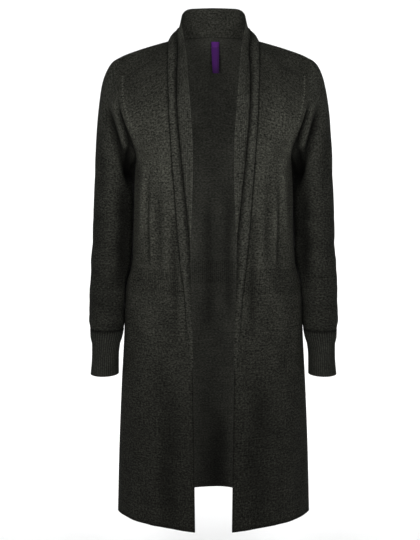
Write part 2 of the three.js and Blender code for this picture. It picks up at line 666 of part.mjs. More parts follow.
/** A closed shell from matching outer and inner grids. The outer one may have several columns for
 * each inner one, and a closed grid runs round a tube. */
function shell(outer, inner, closed = false) {
  const points = [...outer.flat(), ...inner.flat()];
  const [outerWidth, innerWidth] = [outer[0].length, inner[0].length];
  const out = (i, j) => i * outerWidth + (j % outerWidth);
  const within = (i, j) => outer.length * outerWidth + i * innerWidth + (j % innerWidth);
  const ratio = closed ? outerWidth / innerWidth : 1;
  const faces = [];
  const quad = (a, b, c, d) => faces.push(a, b, c, a, c, d);
  const strip = (at, width, i, turn) => {
    range(closed ? width : width - 1).forEach((j) => {
      const corners = [at(i, j), at(i, j + 1), at(i + 1, j + 1), at(i + 1, j)];
      quad(...(turn ? corners.reverse() : corners));
    });
  };
  const rim = (i, turn) => {
    const add = (a, b, c) => faces.push(...(turn ? [c, b, a] : [a, b, c]));
    range(closed ? innerWidth : innerWidth - 1).forEach((j) => {
      const half = Math.floor(ratio / 2);
      range(ratio).forEach((k) => {
        const tip = k < half ? within(i, j) : within(i, j + 1);
        add(out(i, j * ratio + k), tip, out(i, j * ratio + k + 1));
      });
      add(within(i, j), within(i, j + 1), out(i, j * ratio + half));
    });
  };
  range(outer.length - 1).forEach((i) => {
    strip(out, outerWidth, i, false);
    strip(within, innerWidth, i, true);
    if (closed) return;
    quad(out(i, 0), out(i + 1, 0), within(i + 1, 0), within(i, 0));
    const [a, b] = [outerWidth - 1, innerWidth - 1];
    quad(out(i + 1, a), out(i, a), within(i, b), within(i + 1, b));
  });
  rim(0, false);
  rim(outer.length - 1, true);
  return solid(points, faces);
}

/** A wall of cloth about its points. */
function wall(piece, thick = WALL, closed = false) {
  const moved = ({ place, normal }, side) => place.clone().addScaledVector(normal, (side * thick) / 2);
  const skin = (side) => piece.map((row) => row.map((point) => moved(point, side)));
  return shell(skin(1), skin(-1), closed);
}

/** A ribbed cuff, with ribs raised in its outer points over a plain inside. */
function ribbedCuff() {
  const size = tracks(CUFF);
  const ring = (z, count, height) =>
    range(count).map((j) => {
      const angle = (2 * Math.PI * j) / count;
      const [outer, inner] = [size.outer(z), size.inner(z)];
      const rise = height(j) - WALL / 2;
      const x = (outer + inner) / 2 - ((outer - inner) / 2 + rise) * Math.cos(angle);
      return new THREE.Vector3(x, size.y(z) - (size.depth(z) + rise) * Math.sin(angle), z);
    });
  const outside = levels(CUFF).map((z) =>
    ring(z, CUFF_RIBS * RIB_PROFILE.length, (j) => WALL / 2 + RIB_PROFILE[j % RIB_PROFILE.length]),
  );
  const inside = levels(CUFF).map((z) => ring(z, CUFF_RIBS, () => -WALL / 2));
  return [outside, inside];
}

/** The neck label or its tab: a flat strip hung along a line in the middle plane. */
function hungStrip(line, halfWidth, forward) {
  return line.map(([y, z]) =>
    [-1, 1].map((side) => ({
      place: new THREE.Vector3(LABEL.x + side * halfWidth, y - forward, z),
      normal: new THREE.Vector3(0, -1, 0),
    })),
  );
}

function named(name, geometry, colour, roughness = 0.95) {
  const material = new THREE.MeshStandardMaterial({ color: colour, roughness, metalness: 0 });
  const mesh = new THREE.Mesh(geometry, material);
  mesh.name = name;
  return mesh;
}

/** Builds every piece of the half at +X and sews its seams. */
function buildHalf() {
  const front = frontHalf();
  const back = backHalf();
  const collar = collarHalf(front, back);
  const lapel = lapelStrip(front, collar);
  const sleeve = sleeveTube(front, back);
  const roll = rollStrip(front, back, lapel, collar);
  const places = (points) => points.map((point) => point.place.clone());

  const lapelFoot = lowerLevels.indexOf(LAPEL_FOOT_Z);
  const panelSide = neckSeam(front, back, lapelFoot).map((point) => [point]);
  panelSide[TOP_ROW - lapelFoot].push(back[TOP_ROW][SHOULDER_COLUMNS]);
  const lapelSide = lapel.map((row) => [row[0]]);
  lapelSide[lapel.length - 1].push(collar[0][0]);
  const freeSide = [...lapelSide, ...collar.slice(1).map((row) => [row[0]])];
  const free = [...lapel, ...collar.slice(1)].map((row) => row[1].place.clone());
  const armholeSide = sleeve[0].map((_, j) => {
    if (j === 0) return [front[UNDERARM_ROW][0], back[UNDERARM_ROW][0]];
    if (j < UPPER_ROWS) return [front[UNDERARM_ROW + j][0]];
    if (j === UPPER_ROWS) return [front[TOP_ROW][0], back[TOP_ROW][0]];
    return [back[TOP_ROW - (j - UPPER_ROWS)][0]];
  });
  const intoSleeve = places(sleeve[1]);
  const intoCollar = places(collar[1]);

  partPanel(front, -1, HALF_COLUMNS);
  partPanel(back, 1, SHOULDER_COLUMNS);
  sew(lapel[lapel.length - 1].map((point, k) => [[point], [collar[0][k]]]), intoCollar);
  sew(panelSide.map((points, k) => [points, freeSide[k]]), free);
  sew(armholeSide.map((points, j) => [points, [sleeve[0][j]]]), intoSleeve, true);
  meet([front[TOP_ROW][0], back[TOP_ROW][0], sleeve[0][UPPER_ROWS]]);
  meet([lapel[lapel.length - 1][0], collar[0][0], front[CHEST_ROW][HALF_COLUMNS]]);
  centre(back.map((row) => row[HALF_COLUMNS]));
  centre(collar[collar.length - 1]);
  centre(roll[roll.length - 1]);
  roll[roll.length - 1].forEach(({ place }) => place.setX(SEAM / 2));
  level(sleeve[sleeve.length - 1]);
  return { front, back, collar, lapel, sleeve, roll };
}

/** Adds the two mirrored pieces of a kind: right is the wearer's right, at -X. */
function addPair(group, name, half, colour, closed = false) {
  group.add(named(name + "_left", wall(half, WALL, closed), colour));
  group.add(named(name + "_right", wall(mirror(half), WALL, closed), colour));
}

/** Adds the cuffs, which hang 0.4 mm below the sleeves. */
function addCuffs(group) {
  const [outside, inside] = ribbedCuff();
  const flip = (grid) => grid.map((row) => row.map((p) => new THREE.Vector3(-p.x, p.y, p.z)));
  group.add(named("cuff_left", shell(outside, inside, true), SLEEVE_YARN));
  group.add(named("cuff_right", shell(flip(outside), flip(inside), true), SLEEVE_YARN));
}

/** Adds the label that hangs inside the back of the neck. */
function addLabel(group) {
  const label = hungStrip(LABEL_LINE, LABEL.halfWidth, 0);
  const tab = hungStrip(LABEL_LINE.slice(0, TAB.steps + 1), TAB.halfWidth, LABEL.thick + TAB.gap);
  group.add(named("neck_label", wall(label, LABEL.thick), LABEL_CLOTH, 0.6));
  group.add(named("size_tab", wall(tab, LABEL.thick), TAB_CLOTH, 0.6));
}

function buildCardigan() {
  const group = new THREE.Group();
  const half = buildHalf();
  const wholeBack = half.back.map((row, i) => [...row, ...mirror(half.back)[i].slice(0, -1).reverse()]);
  const wholeCollar = [...half.collar, ...mirror(half.collar).slice(0, -1).reverse()];
  group.add(named("back", wall(wholeBack), YARN));
  addPair(group, "front", half.front, YARN);
  addPair(group, "sleeve", half.sleeve, SLEEVE_YARN, true);
  addCuffs(group);
  group.add(named("collar", wall(wholeCollar), YARN));
  addPair(group, "lapel", half.lapel, YARN);
  addPair(group, "collar_roll", half.roll, ROLL_YARN);
  addLabel(group);
  return group;
}

const group = buildCardigan();

export default group;
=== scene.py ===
"""Dresses a long open-front knitted cardigan, filled out as worn, in heathered charcoal yarn.

Each cut piece is a thin wall of cloth worked out from the garment's own sizes, with its creases
listed, its stitches and ribs raised, and its seams sewn. Tables are in millimetres and the
meshes in metres. +Z is up, the front faces -Y and the wearer's left is +X.
"""

import logging
import math
from dataclasses import dataclass, field, replace
from enum import Enum
from typing import Sequence

import bpy
import numpy as np
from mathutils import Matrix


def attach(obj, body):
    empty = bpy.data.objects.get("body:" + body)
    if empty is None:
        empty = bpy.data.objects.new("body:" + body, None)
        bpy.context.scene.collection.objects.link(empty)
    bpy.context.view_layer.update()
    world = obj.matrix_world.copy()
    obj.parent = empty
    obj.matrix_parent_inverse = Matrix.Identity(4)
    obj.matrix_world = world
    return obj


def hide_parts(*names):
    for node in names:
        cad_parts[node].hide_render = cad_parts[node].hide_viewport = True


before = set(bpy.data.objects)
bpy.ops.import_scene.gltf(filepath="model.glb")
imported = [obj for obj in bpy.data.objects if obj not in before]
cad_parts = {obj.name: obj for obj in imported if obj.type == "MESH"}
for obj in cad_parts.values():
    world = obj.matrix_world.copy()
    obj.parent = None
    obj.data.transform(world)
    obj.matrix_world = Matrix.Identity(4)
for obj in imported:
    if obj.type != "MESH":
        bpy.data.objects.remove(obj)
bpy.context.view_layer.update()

LOG = logging.getLogger("cardigan")
MM = 0.001
WALL = 2.0  # thickness of the knitted cloth
SEAM = 0.2  # gap left along a seam, where the sewing draws the cloth in
FINE = 5  # steps of the cloth for each step of the solids
HALF_COLUMNS = 10 * FINE
SHOULDER_COLUMNS = 5 * FINE
UPPER_ROWS = 11 * FINE
CHEST_SEAM_ROW = 5 * FINE
ROW_EASE = 1.55  # how much a panel's rows draw together towards the shoulder
SAMPLES = 400  # fine points that a curve is spaced out from
EDGE_POINTS = 7  # points over which creases die out towards a seam
SHARP_ANGLE = math.radians(55)  # a fold in the cloth any sharper has a crisp edge
MIRROR_SHIFT = (0.35, 0.0)  # metres of yarn pattern between the two sides, so that they differ
UNDERARM_Z = -240.0
SHOULDER_Y = 9.0
LAPEL_FOOT_Z = -430.0
ROLL_FOOT_Z = -625.0


class Side(Enum):
    """The wearer's left is at +X and the wearer's right at -X."""

    LEFT = 1
    RIGHT = -1


class Hold(Enum):
    """How a sheet of cloth is held."""

    HUNG = "hung"
    GATHERED = "gathered"
    FOLDED = "folded"


@dataclass(frozen=True)
class Section:
    """One height of the torso: half width, depths, and powers of its curve (2 is an ellipse)."""

    z: float
    side: float
    front: float
    back: float
    front_power: float
    back_power: float
    steps: int = 0


@dataclass(frozen=True)
class Tube:
    """One height of a sleeve or cuff: distances from the garment's middle, half depth and centre."""

    z: float
    outer: float
    inner: float
    depth: float
    y: float
    steps: int = 0


@dataclass(frozen=True)
class Cap:
    """How the sleeve leaves the armhole at a share of the way round it."""

    share: float
    x: float
    y: float
    z: float
    reach: float


@dataclass(frozen=True)
class Turn:
    """Angles in which a row above the underarm meets the armhole and the front edge."""

    share: float
    front_arm: float
    front_neck: float
    back_arm: float


@dataclass(frozen=True)
class Roll:
    """Reach of the collar roll on to the panel and the collar, and its swell, at one place."""

    at: float
    outer: float
    inner: float
    rise: float


@dataclass(frozen=True)
class Crease:
    """A soft ridge, or trough if its height is negative, along a line of x and z on the cloth; its height
    also paints shade into troughs and light onto ridges.

    left and right are its strength on the wearer's two sides.
    """

    start: tuple[float, float]
    end: tuple[float, float]
    width: float
    height: float
    left: float = 1.0
    right: float = 1.0


@dataclass(frozen=True)
class SoftLine:
    """A line along an edge or seam, as a height and a half width: painted shade where negative, painted
    light where positive; the tuck also sinks the cloth.
    """

    height: float
    width: float

    def near(self, distance: np.ndarray) -> np.ndarray:
        """Its height at distances from its middle."""
        return self.height * np.exp(-((distance / self.width) ** 2))


TORSO = (
    Section(-931, 190, 122, 135, 1.5, 1.9, 3),
    Section(-800, 185.8, 115, 131, 1.66, 1.95, 3),
    Section(-670, 179.6, 109, 123, 1.85, 2, 2),
    Section(-580, 174.2, 105, 115, 2.05, 2.05, 2),
    Section(-515, 171.4, 104, 107, 2.1, 2.1, 2),
    Section(-472, 167.2, 103, 100, 2.15, 2.1, 1),
    Section(-452, 161.2, 102.5, 95, 2.2, 2.1, 1),
    Section(-430, 156.4, 102.5, 90, 2.2, 2.1, 1),
    Section(-405, 154.4, 104, 87, 2.2, 2.1, 2),
    Section(-350, 152.2, 109, 86, 2.25, 2.15, 2),
    Section(-285, 150.6, 114, 92, 2.3, 2.2, 2),
    Section(UNDERARM_Z, 148, 115, 97, 2.3, 2.25),
)
FRONT_EDGE = ((-931, 34.7), (-775, 36.3), (-625, 38.6), (-540, 42.5), (-463, 47.5), (-411, 52),
              (-323, 60), (UNDERARM_Z, 67.5))
LAPEL_EDGE = ((-430, 47.6, -100), (-411, 44, -102), (-381, 41.2, -105), (-323, 39, -110),
              (-265, 37.2, -113), (-208, 37.6, -110.5), (-165, 40, -103), (-121, 43.6, -90))
ARMHOLE_FRONT = ((148, 0, UNDERARM_Z), (146.5, -31, -223), (152, -54, -197), (163, -61, -168),
                 (174.5, -49, -130), (179, -27, -90), (182.5, -6, -62), (185, SHOULDER_Y, -45))
ARMHOLE_BACK = ((148, 0, UNDERARM_Z), (150, 34, -222), (156, 57, -190), (163, 65, -152),
                (171, 59, -112), (179, 38, -74), (185, SHOULDER_Y, -45))
SHOULDER = ((185, SHOULDER_Y, -45), (168, SHOULDER_Y, -36.8), (125, SHOULDER_Y, -22.3),
            (79, SHOULDER_Y, -9.5))
NECK_FRONT = ((67.5, -106.5, UNDERARM_Z), (70, -105.5, -208), (73.5, -98, -165), (75.5, -85.5, -121),
              (77, -66, -85), (78, -45, -53), (79, -20, -27), (79, SHOULDER_Y, -9.5))
NECK_BACK = ((79, SHOULDER_Y, -9.5), (72, 35, -4), (55, 56, 2.5), (29, 68.5, 6.5), (0, 72, 8))
CENTRE_BACK = ((0, 97, UNDERARM_Z), (0, 100, -170), (0, 96, -90), (0, 84, -30), (0, 72, 8))
TURNS = (
    Turn(0, 90, 16, 90),
    Turn(0.12, 74, 14, 70),
    Turn(0.25, 52, 12, 46),
    Turn(0.4, 34, 9, 30),
    Turn(0.6, 20, 5, 18),
    Turn(1, 0, 0, 0),
)
COLLAR_MIDDLE = ((59.5, -88.5, -121), (62, -67, -80), (64.5, -43, -42), (67, -17, -11), (67.5, 8, 8),
                 (63.5, 32, 20), (51, 52, 30), (28.5, 65.5, 34.5), (0, 69, 36))
COLLAR_EDGE = ((43.6, -90, -121), (48, -62, -66), (51, -43, -32), (57.5, -11, 3), (61, 12, 25),
               (59, 33, 45.5), (49, 49, 57), (28, 62, 61.5), (0, 66, 63))
COLLAR_COLUMNS = 24
ROLL_FRONT = (
    Roll(-625, 3.4, 0.8, 0.3),
    Roll(-582, 4.2, 2.1, 0.8),
    Roll(-541, 5.9, 2.8, 1.4),
    Roll(-501, 6.4, 4, 2),
    Roll(-463, 7.7, 5.3, 2.6),
    Roll(-417, 10, 8, 3.2),
    Roll(-381, 9.9, 9, 3.4),
    Roll(-323, 8.6, 8.3, 3.6),
    Roll(-265, 7.8, 7.9, 3.6),
    Roll(-210, 6.4, 7.5, 3.5),
    Roll(-166, 6, 6.8, 3.5),
    Roll(-121, 6, 6, 3.6),
    Roll(-85, 6.6, 7.2, 3.8),
    Roll(-53, 7.2, 12, 4),
    Roll(-27, 6.8, 18, 4),
    Roll(-9.5, 6.2, 22.5, 3.6),
)
ROLL_BACK = (Roll(79, 6.2, 22.5, 3.6), Roll(55, 8.6, 27.5, 3.4), Roll(0, 9.4, 28, 3))
ROLL_COLUMNS = 20
ROLL_LIFT = 2.4  # how far the roll's edges stand off the cloth's middle
ROLL_FULL = (-120, -40)  # heights between which its full, round swell gives way to a flat arch
ROLL_BACK_ROWS = 4 * FINE  # rows of the back below the neck that it is laid over
ROLL_SHADE_ROWS = 40  # rows up from its foot over which its painted shade sets in
SLEEVE = (
    Tube(-264, 229.3, 151, 53.5, 14, 1),
    Tube(-305, 231.9, 152, 52, 17, 2),
    Tube(-350, 234.4, 153, 50, 17, 2),
    Tube(-405, 236.6, 155, 47.8, 13.5, 1),
    Tube(-430, 238, 157.5, 47, 11, 1),
    Tube(-452, 239.2, 161, 46.3, 8.5, 1),
    Tube(-472, 240, 165.5, 46, 6.5, 2),
    Tube(-515, 241, 172.5, 44.8, 1, 1),
    Tube(-547.5, 240.8, 175, 43, -3.5, 1),
    Tube(-563, 239.4, 176.8, 39, -6),
)
SLEEVE_REST = 2.8  # least distance from the sleeve's middle to the body's side
REST_MARGIN = 14.0  # depth each way from the side seam over which the sleeve keeps that distance
CAP = (
    Cap(0, 0.45, 0, -0.89, 0.85),
    Cap(0.1, 0.5, 0.1, -0.86, 0.85),
    Cap(0.22, 0.62, 0.12, -0.78, 0.62),
    Cap(0.36, 0.82, -0.05, -0.57, 0.5),
    Cap(0.5, 0.965, 0, -0.263, 0.51),
    Cap(0.64, 0.82, 0.05, -0.57, 0.5),
    Cap(0.78, 0.62, 0, -0.78, 0.62),
    Cap(0.9, 0.5, 0, -0.86, 0.85),
    Cap(1, 0.45, 0, -0.89, 0.85),
)
CAP_ROWS = 8 * FINE
CAP_EASE = 1.2  # how much the cap's rows draw together towards the armhole
CAP_LAND = 0.85  # how straight down the cap runs into the sleeve
SLEEVE_FADE_ROWS = 6  # rows over which creases die out towards the sleeve's two seams
UNDER_ARM = (0.2, 0.32)  # shares of the way round between which the underarm's painted shade ends
CUFF = (
    Tube(-563.4, 239.2, 177, 38.8, -6, 1),
    Tube(-578, 238.6, 180, 36.5, -7.5, 1),
    Tube(-593, 235.6, 184.6, 34.5, -9, 1),
    Tube(-615, 235.8, 187, 33.5, -10, 1),
    Tube(-650.5, 238.8, 187.4, 33.5, -11),
)
CUFF_RIBS = 42
FRONT_CREASES = (
    Crease((92, -600), (82, -985), 20, -1, 1, 1.15),
    Crease((78, -610), (74, -1050), 12, -0.7, 1, 0.9),
    Crease((168, -150), (126, -262), 8, 3.5, 1, 0.8),
    Crease((124, -225), (138, -400), 6, 4, 0.9, 1),
    Crease((121, -245), (121, -460), 3.5, -3, 1, 0.9),
    Crease((115, -290), (114, -458), 3.5, 3.2, 0.8, 1),
    Crease((101, -240), (99, -460), 7, -1.8, 1, 0.9),
    Crease((90, -320), (88, -480), 5, 2, 1, 0.7),
    Crease((74, -300), (70, -590), 7, -3.4, 0.85, 1),
    Crease((50, -436), (165, -436), 2.5, 1),
    Crease((140, -580), (152, -1150), 22, 2.2, 1.1, 0.9),
    Crease((112, -640), (116, -1080), 10, 2, 0.6, 1),
    Crease((100, -440), (150, -520), 8, -1.5, 1, 0.6),
)
BACK_CREASES = (
    Crease((11, -260), (8, -600), 11, 3.5, 0.3, 1),
    Crease((30, -270), (32, -590), 10, 3, 1, 0),
    Crease((52, -300), (58, -580), 16, -4, 0.8, 1),
    Crease((104, -170), (96, -450), 20, -4, 1, 0.85),
    Crease((60, -600), (74, -1200), 26, -7, 1, 0.85),
    Crease((128, -620), (140, -1200), 24, 5, 0.9, 1),
    Crease((20, -150), (120, -230), 14, 1.8, 0.7, 1),
    Crease((12, -700), (16, -1190), 20, 3.5, 1, 0.3),
)
SLEEVE_FRONT_CREASES = (
    Crease((203, -122), (149, -312), 7, -9, 1, 0.95),
    Crease((191, -118), (157, -240), 6, 4, 1, 1.1),
    Crease((181, -132), (148, -232), 6, -9, 1, 0.95),
    Crease((162, -205), (152, -285), 7, -12),
    Crease((222, -150), (204, -330), 11, -2.2, 1, 0.8),
    Crease((196, -250), (206, -480), 14, 2.5, 1, 0.9),
    Crease((167, -240), (173, -500), 13, -6),
    Crease((160, -330), (248, -352), 8, -1.6, 0.6, 1),
    Crease((160, -352), (232, -372), 5, 2.2, 1, 0.7),
    Crease((160, -392), (250, -398), 8, -1.6, 1, 0.7),
    Crease((160, -420), (250, -430), 7, 1.8, 1, 0.5),
    Crease((165, -462), (252, -446), 8, -1.5, 1, 0.9),
    Crease((162, -520), (256, -506), 7, -1.5, 0.8, 1),
    Crease((160, -494), (252, -482), 6, 1.4),
    Crease((160, -543), (260, -545), 6, 1.6),
)
SLEEVE_BACK_CREASES = (
    Crease((206, -110), (168, -290), 14, -4),
    Crease((196, -250), (208, -480), 14, 3, 1, 0.8),
    Crease((160, -372), (250, -398), 9, -3, 1, 0.8),
    Crease((160, -440), (250, -470), 9, -3, 0.9, 1),
    Crease((162, -500), (256, -520), 8, -2.4),
    Crease((160, -545), (260, -548), 7, 2),
)
CREASE_FADE = 0.3  # share of a crease's line over which it fades at each end
WAVE_COUNT = 9
WAVE_LENGTHS = (38, 120)  # shortest and longest wave of unevenness
FRONT_WAVES, BACK_WAVES, SLEEVE_WAVES = 0.7, 0.8, 0.7  # how high they are
BODY_SEED, SLEEVE_SEED = 11, 23  # which waves are drawn
LABEL_LINE = ((71.85, -1.5), (72, -8), (72.1, -14.5), (72.8, -30), (74, -46), (74.6, -62))

BESIDE_ROLL_PAINTED_SHADE = SoftLine(-6, 2.3)  # painted shade on the front, along the roll's outer edge
BESIDE_ROLL_FADE = (-600, -520)  # heights between which that line begins
TUCKED = SoftLine(-3, 2.6)  # how the collar and lapel sink where they come out from under the roll; doubled, it is also painted there as shade
TUCKED_PAST = 1.0  # how far beyond the roll's edge the trough's middle lies
TUCKED_FADE = (0, -30)  # heights between which the sinking begins, below the shoulder
TUCKED_SHADE = SoftLine(-2.1, 9)  # the wider painted shade beside it on the collar
BOUND_EDGE_PAINTED_SHADE = SoftLine(-5, 2.2)  # painted shade along the hem, and along the front's own edge below the roll
BOUND_EDGE_FADE = (-640, -600)  # heights between which the roll takes the front's edge over
COLLAR_RIM_WIDTH = 2.0  # of the painted line along the collar's and lapel's free edge
COLLAR_RIM_LIGHT = 5.0  # painted highlight on the part that faces forwards
COLLAR_RIM_DARK = -5.0  # painted shade on the stand's top edge
COLLAR_RIM_TURN = (42, 58)  # heights between which the one gives way to the other
NECK_STRIP = 6.0  # painted highlight on the collar beside the neck, where it faces forwards
NECK_STRIP_RISE = (-30, 5)  # heights between which that begins
NECK_STRIP_END = (8, 24)  # depths between which it ends
SHOULDER_SHADE = -2.0  # painted shade: how much darker the front is at the shoulder
SHOULDER_SHADE_RISE = (-240, -90)  # heights between which it sets in
NECK_SEAM_PAINTED_LINE = SoftLine(4, 2.0)  # painted along the back's neck seam, in rows down from it: a dark line on the inside, lighter outside, then a light band below it, darker outside
NECK_SEAM_PAINTED_BAND = SoftLine(-2, 4)
NECK_SEAM_PAINTED_BAND_ROW = 7
ARMHOLE_SHADE = SoftLine(-5, 5)  # painted shade on the sleeve, in rows down from the armhole, under the arm
WRIST_SHADE = SoftLine(-9, 0.7)  # painted shade, in rows up from the cuff
CUFF_TOP_SHADE = SoftLine(-6, 1.2)  # painted shade, in rows down from the sleeve
ROLL_INNER_SHADE = 6.0  # painted shade over the roll's inner half
ROLL_OUTER_SHADE = 9.0  # painted shade along its outer edge
# How a crease's height, real or only painted, becomes painted shade and light on the yarn's colour:
TROUGH_FADE = 6.0  # depth in millimetres at which a trough is down to about a third of the light
RIDGE_GAIN = 0.35  # how much lighter a ridge gets at most
RIDGE_FADE = 5.0  # height in millimetres at which a ridge has three quarters of that
CREST_START = 4.0  # height from which a ridge goes on getting lighter
CREST_GAIN = 0.12


def mix(a: np.ndarray | float, b: np.ndarray | float, t: np.ndarray | float) -> np.ndarray:
    """A share t of the way from a to b."""
    return np.asarray(a) + (np.asarray(b) - np.asarray(a)) * t


def smooth(x: np.ndarray | float, low: float, high: float) -> np.ndarray:
    """A soft step from 0 at low to 1 at high."""
    t = np.clip((np.asarray(x, float) - low) / (high - low), 0, 1)
    return t * t * (3 - 2 * t)


def unit(v: np.ndarray) -> np.ndarray:
    """Vectors scaled to a length of one."""
    return v / np.maximum(np.linalg.norm(v, axis=-1, keepdims=True), 1e-9)


class Track:
    """A smooth line through a table's values that never overshoots them."""

    def __init__(self, at: Sequence[float], value: Sequence[float]) -> None:
        """Keeps the table sorted, with a slope at each of its rows.

        Args:
            at: where each value is reached.
            value: the values.
        """
        order = np.argsort(at)
        self.at = np.asarray(at, float)[order]
        self.value = np.asarray(value, float)[order]
        rate = np.diff(self.value) / np.diff(self.at)
        before, after = rate[:-1], rate[1:]
        same = before * after > 0
        inner = np.where(same, 2 * before * after / np.where(same, before + after, 1), 0)
        self.slope = np.concatenate([rate[:1], inner, rate[-1:]])

    def __call__(self, x: np.ndarray | float) -> np.ndarray:
        """The value at x, held level beyond the table's ends.

        Args:
            x: where to read it.

        Returns:
            The value or values there.
        """
        x = np.clip(np.asarray(x, float), self.at[0], self.at[-1])
        i = np.clip(np.searchsorted(self.at, x) - 1, 0, len(self.at) - 2)
        span = self.at[i + 1] - self.at[i]
        t = (x - self.at[i]) / span
        ends = (2 * t**3 - 3 * t**2 + 1) * self.value[i] + (3 * t**2 - 2 * t**3) * self.value[i + 1]
        lean = (t**3 - 2 * t**2 + t) * self.slope[i] + (t**3 - t**2) * self.slope[i + 1]
        return ends + span * lean


def table_track(rows: Sequence, by: str, key: str) -> Track:
    """A track through one field of a table's rows, read by another."""
    return Track([getattr(row, by) for row in rows], [getattr(row, key) for row in rows])


class Curve:
    """A smooth curve through points, as a stretched strip of cloth would lie."""

    def __init__(self, points: Sequence[Sequence[float]]) -> None:
        """Works out a fine line through the points.

        Args:
            points: the points, each with x, y and z.
        """
        p = np.asarray(points, float)
        ends = np.vstack([2 * p[0] - p[1], p, 2 * p[-1] - p[-2]])
        steps = np.linalg.norm(np.diff(ends, axis=0), axis=1) ** 0.5
        fine = []
        per = SAMPLES // (len(p) - 1)
        t = np.linspace(0, 1, per, endpoint=False)[:, None]
        for i in range(len(p) - 1):
            a, b, c, d = ends[i : i + 4]
            ta, tb, tc = steps[i : i + 3]
            leave = ((b - a) / ta - (c - a) / (ta + tb) + (c - b) / tb) * tb
            arrive = ((c - b) / tb - (d - b) / (tb + tc) + (d - c) / tc) * tb
            fine.append(hermite(b, leave, c, arrive, t))
        self.fine = np.vstack([*fine, p[-1:]])
        self.share = np.linspace(0, 1, len(self.fine))

    def spaced(self, count: int) -> np.ndarray:
        """count + 1 points at equal lengths along the curve."""
        return evenly(self.fine, count)

    def at(self, share: np.ndarray) -> np.ndarray:
        """Points at shares of the way through the curve's own points."""
        return np.stack([np.interp(share, self.share, self.fine[:, k]) for k in range(3)], -1)


def hermite(
    a: np.ndarray, leave: np.ndarray, b: np.ndarray, arrive: np.ndarray, t: np.ndarray
) -> np.ndarray:
    """A smooth arc between two points.

    Args:
        a: where it starts.
        leave: the direction it starts in, longer for a fuller arc.
        b: where it ends.
        arrive: the direction it ends in.
        t: shares of the way at which to read it.

    Returns:
        A point for each share.
    """
    t2, t3 = t * t, t * t * t
    start = (2 * t3 - 3 * t2 + 1) * a + (t3 - 2 * t2 + t) * leave
    return start + (3 * t2 - 2 * t3) * b + (t3 - t2) * arrive


def lengths(line: np.ndarray) -> np.ndarray:
    """How far along a line each of its points is."""
    return np.concatenate([[0], np.cumsum(np.linalg.norm(np.diff(line, axis=0), axis=1))])


def along(line: np.ndarray, want: np.ndarray) -> np.ndarray:
    """Points at given lengths along a line, or straight on beyond its end.

    Args:
        line: the line's points.
        want: lengths from its start.

    Returns:
        A point for each length.
    """
    far = lengths(line)
    inside = np.stack([np.interp(want, far, line[:, k]) for k in range(3)], -1)
    past = np.maximum(np.asarray(want) - far[-1], 0)[..., None]
    return inside + unit(line[-1] - line[-2]) * past


def evenly(line: np.ndarray, count: int) -> np.ndarray:
    """count + 1 points at equal lengths along a line."""
    return along(line, np.linspace(0, lengths(line)[-1], count + 1))


def levels(rows: Sequence[Section] | Sequence[Tube], fine: int = FINE) -> np.ndarray:
    """The heights of a table's rows, each step of it cut finer, in the table's own order."""
    heights = [np.linspace(a.z, b.z, a.steps * fine, endpoint=False) for a, b in zip(rows, rows[1:])]
    return np.concatenate([*heights, [rows[-1].z]])


def grid_normals(grid: np.ndarray, sign: float = 1, closed: bool = False) -> np.ndarray:
    """A unit normal at each point of a grid, across its rows and columns.

    Args:
        grid: rows and columns of points.
        sign: 1 if rows across columns point outwards, else -1.
        closed: whether the columns run round a tube.

    Returns:
        The normals, in the grid's own shape.
    """
    up = np.gradient(grid, axis=0)
    across = (np.roll(grid, -1, 1) - np.roll(grid, 1, 1)) if closed else np.gradient(grid, axis=1)
    return unit(np.cross(up, across)) * sign


def crease_height(creases: Sequence[Crease], x: np.ndarray, z: np.ndarray) -> np.ndarray:
    """How far a list of creases moves the cloth outwards.

    Args:
        creases: the creases, each used on both sides of the garment.
        x: signed distances from the middle.
        z: heights.

    Returns:
        Millimetres along the cloth's normal.
    """
    total = np.zeros_like(x)
    for crease in creases:
        for side, strength in ((1, crease.left), (-1, crease.right)):
            run = np.array([crease.end[0] - crease.start[0], crease.end[1] - crease.start[1]])
            length = np.hypot(*run)
            dx, dz = side * x - crease.start[0], z - crease.start[1]
            t = np.clip((dx * run[0] + dz * run[1]) / length**2, 0, 1)
            off = (dx * run[1] - dz * run[0]) / length / crease.width
            fade = smooth(t, 0, CREASE_FADE) * smooth(1 - t, 0, CREASE_FADE)
            total += strength * crease.height * fade * np.exp(-off * off)
    return total


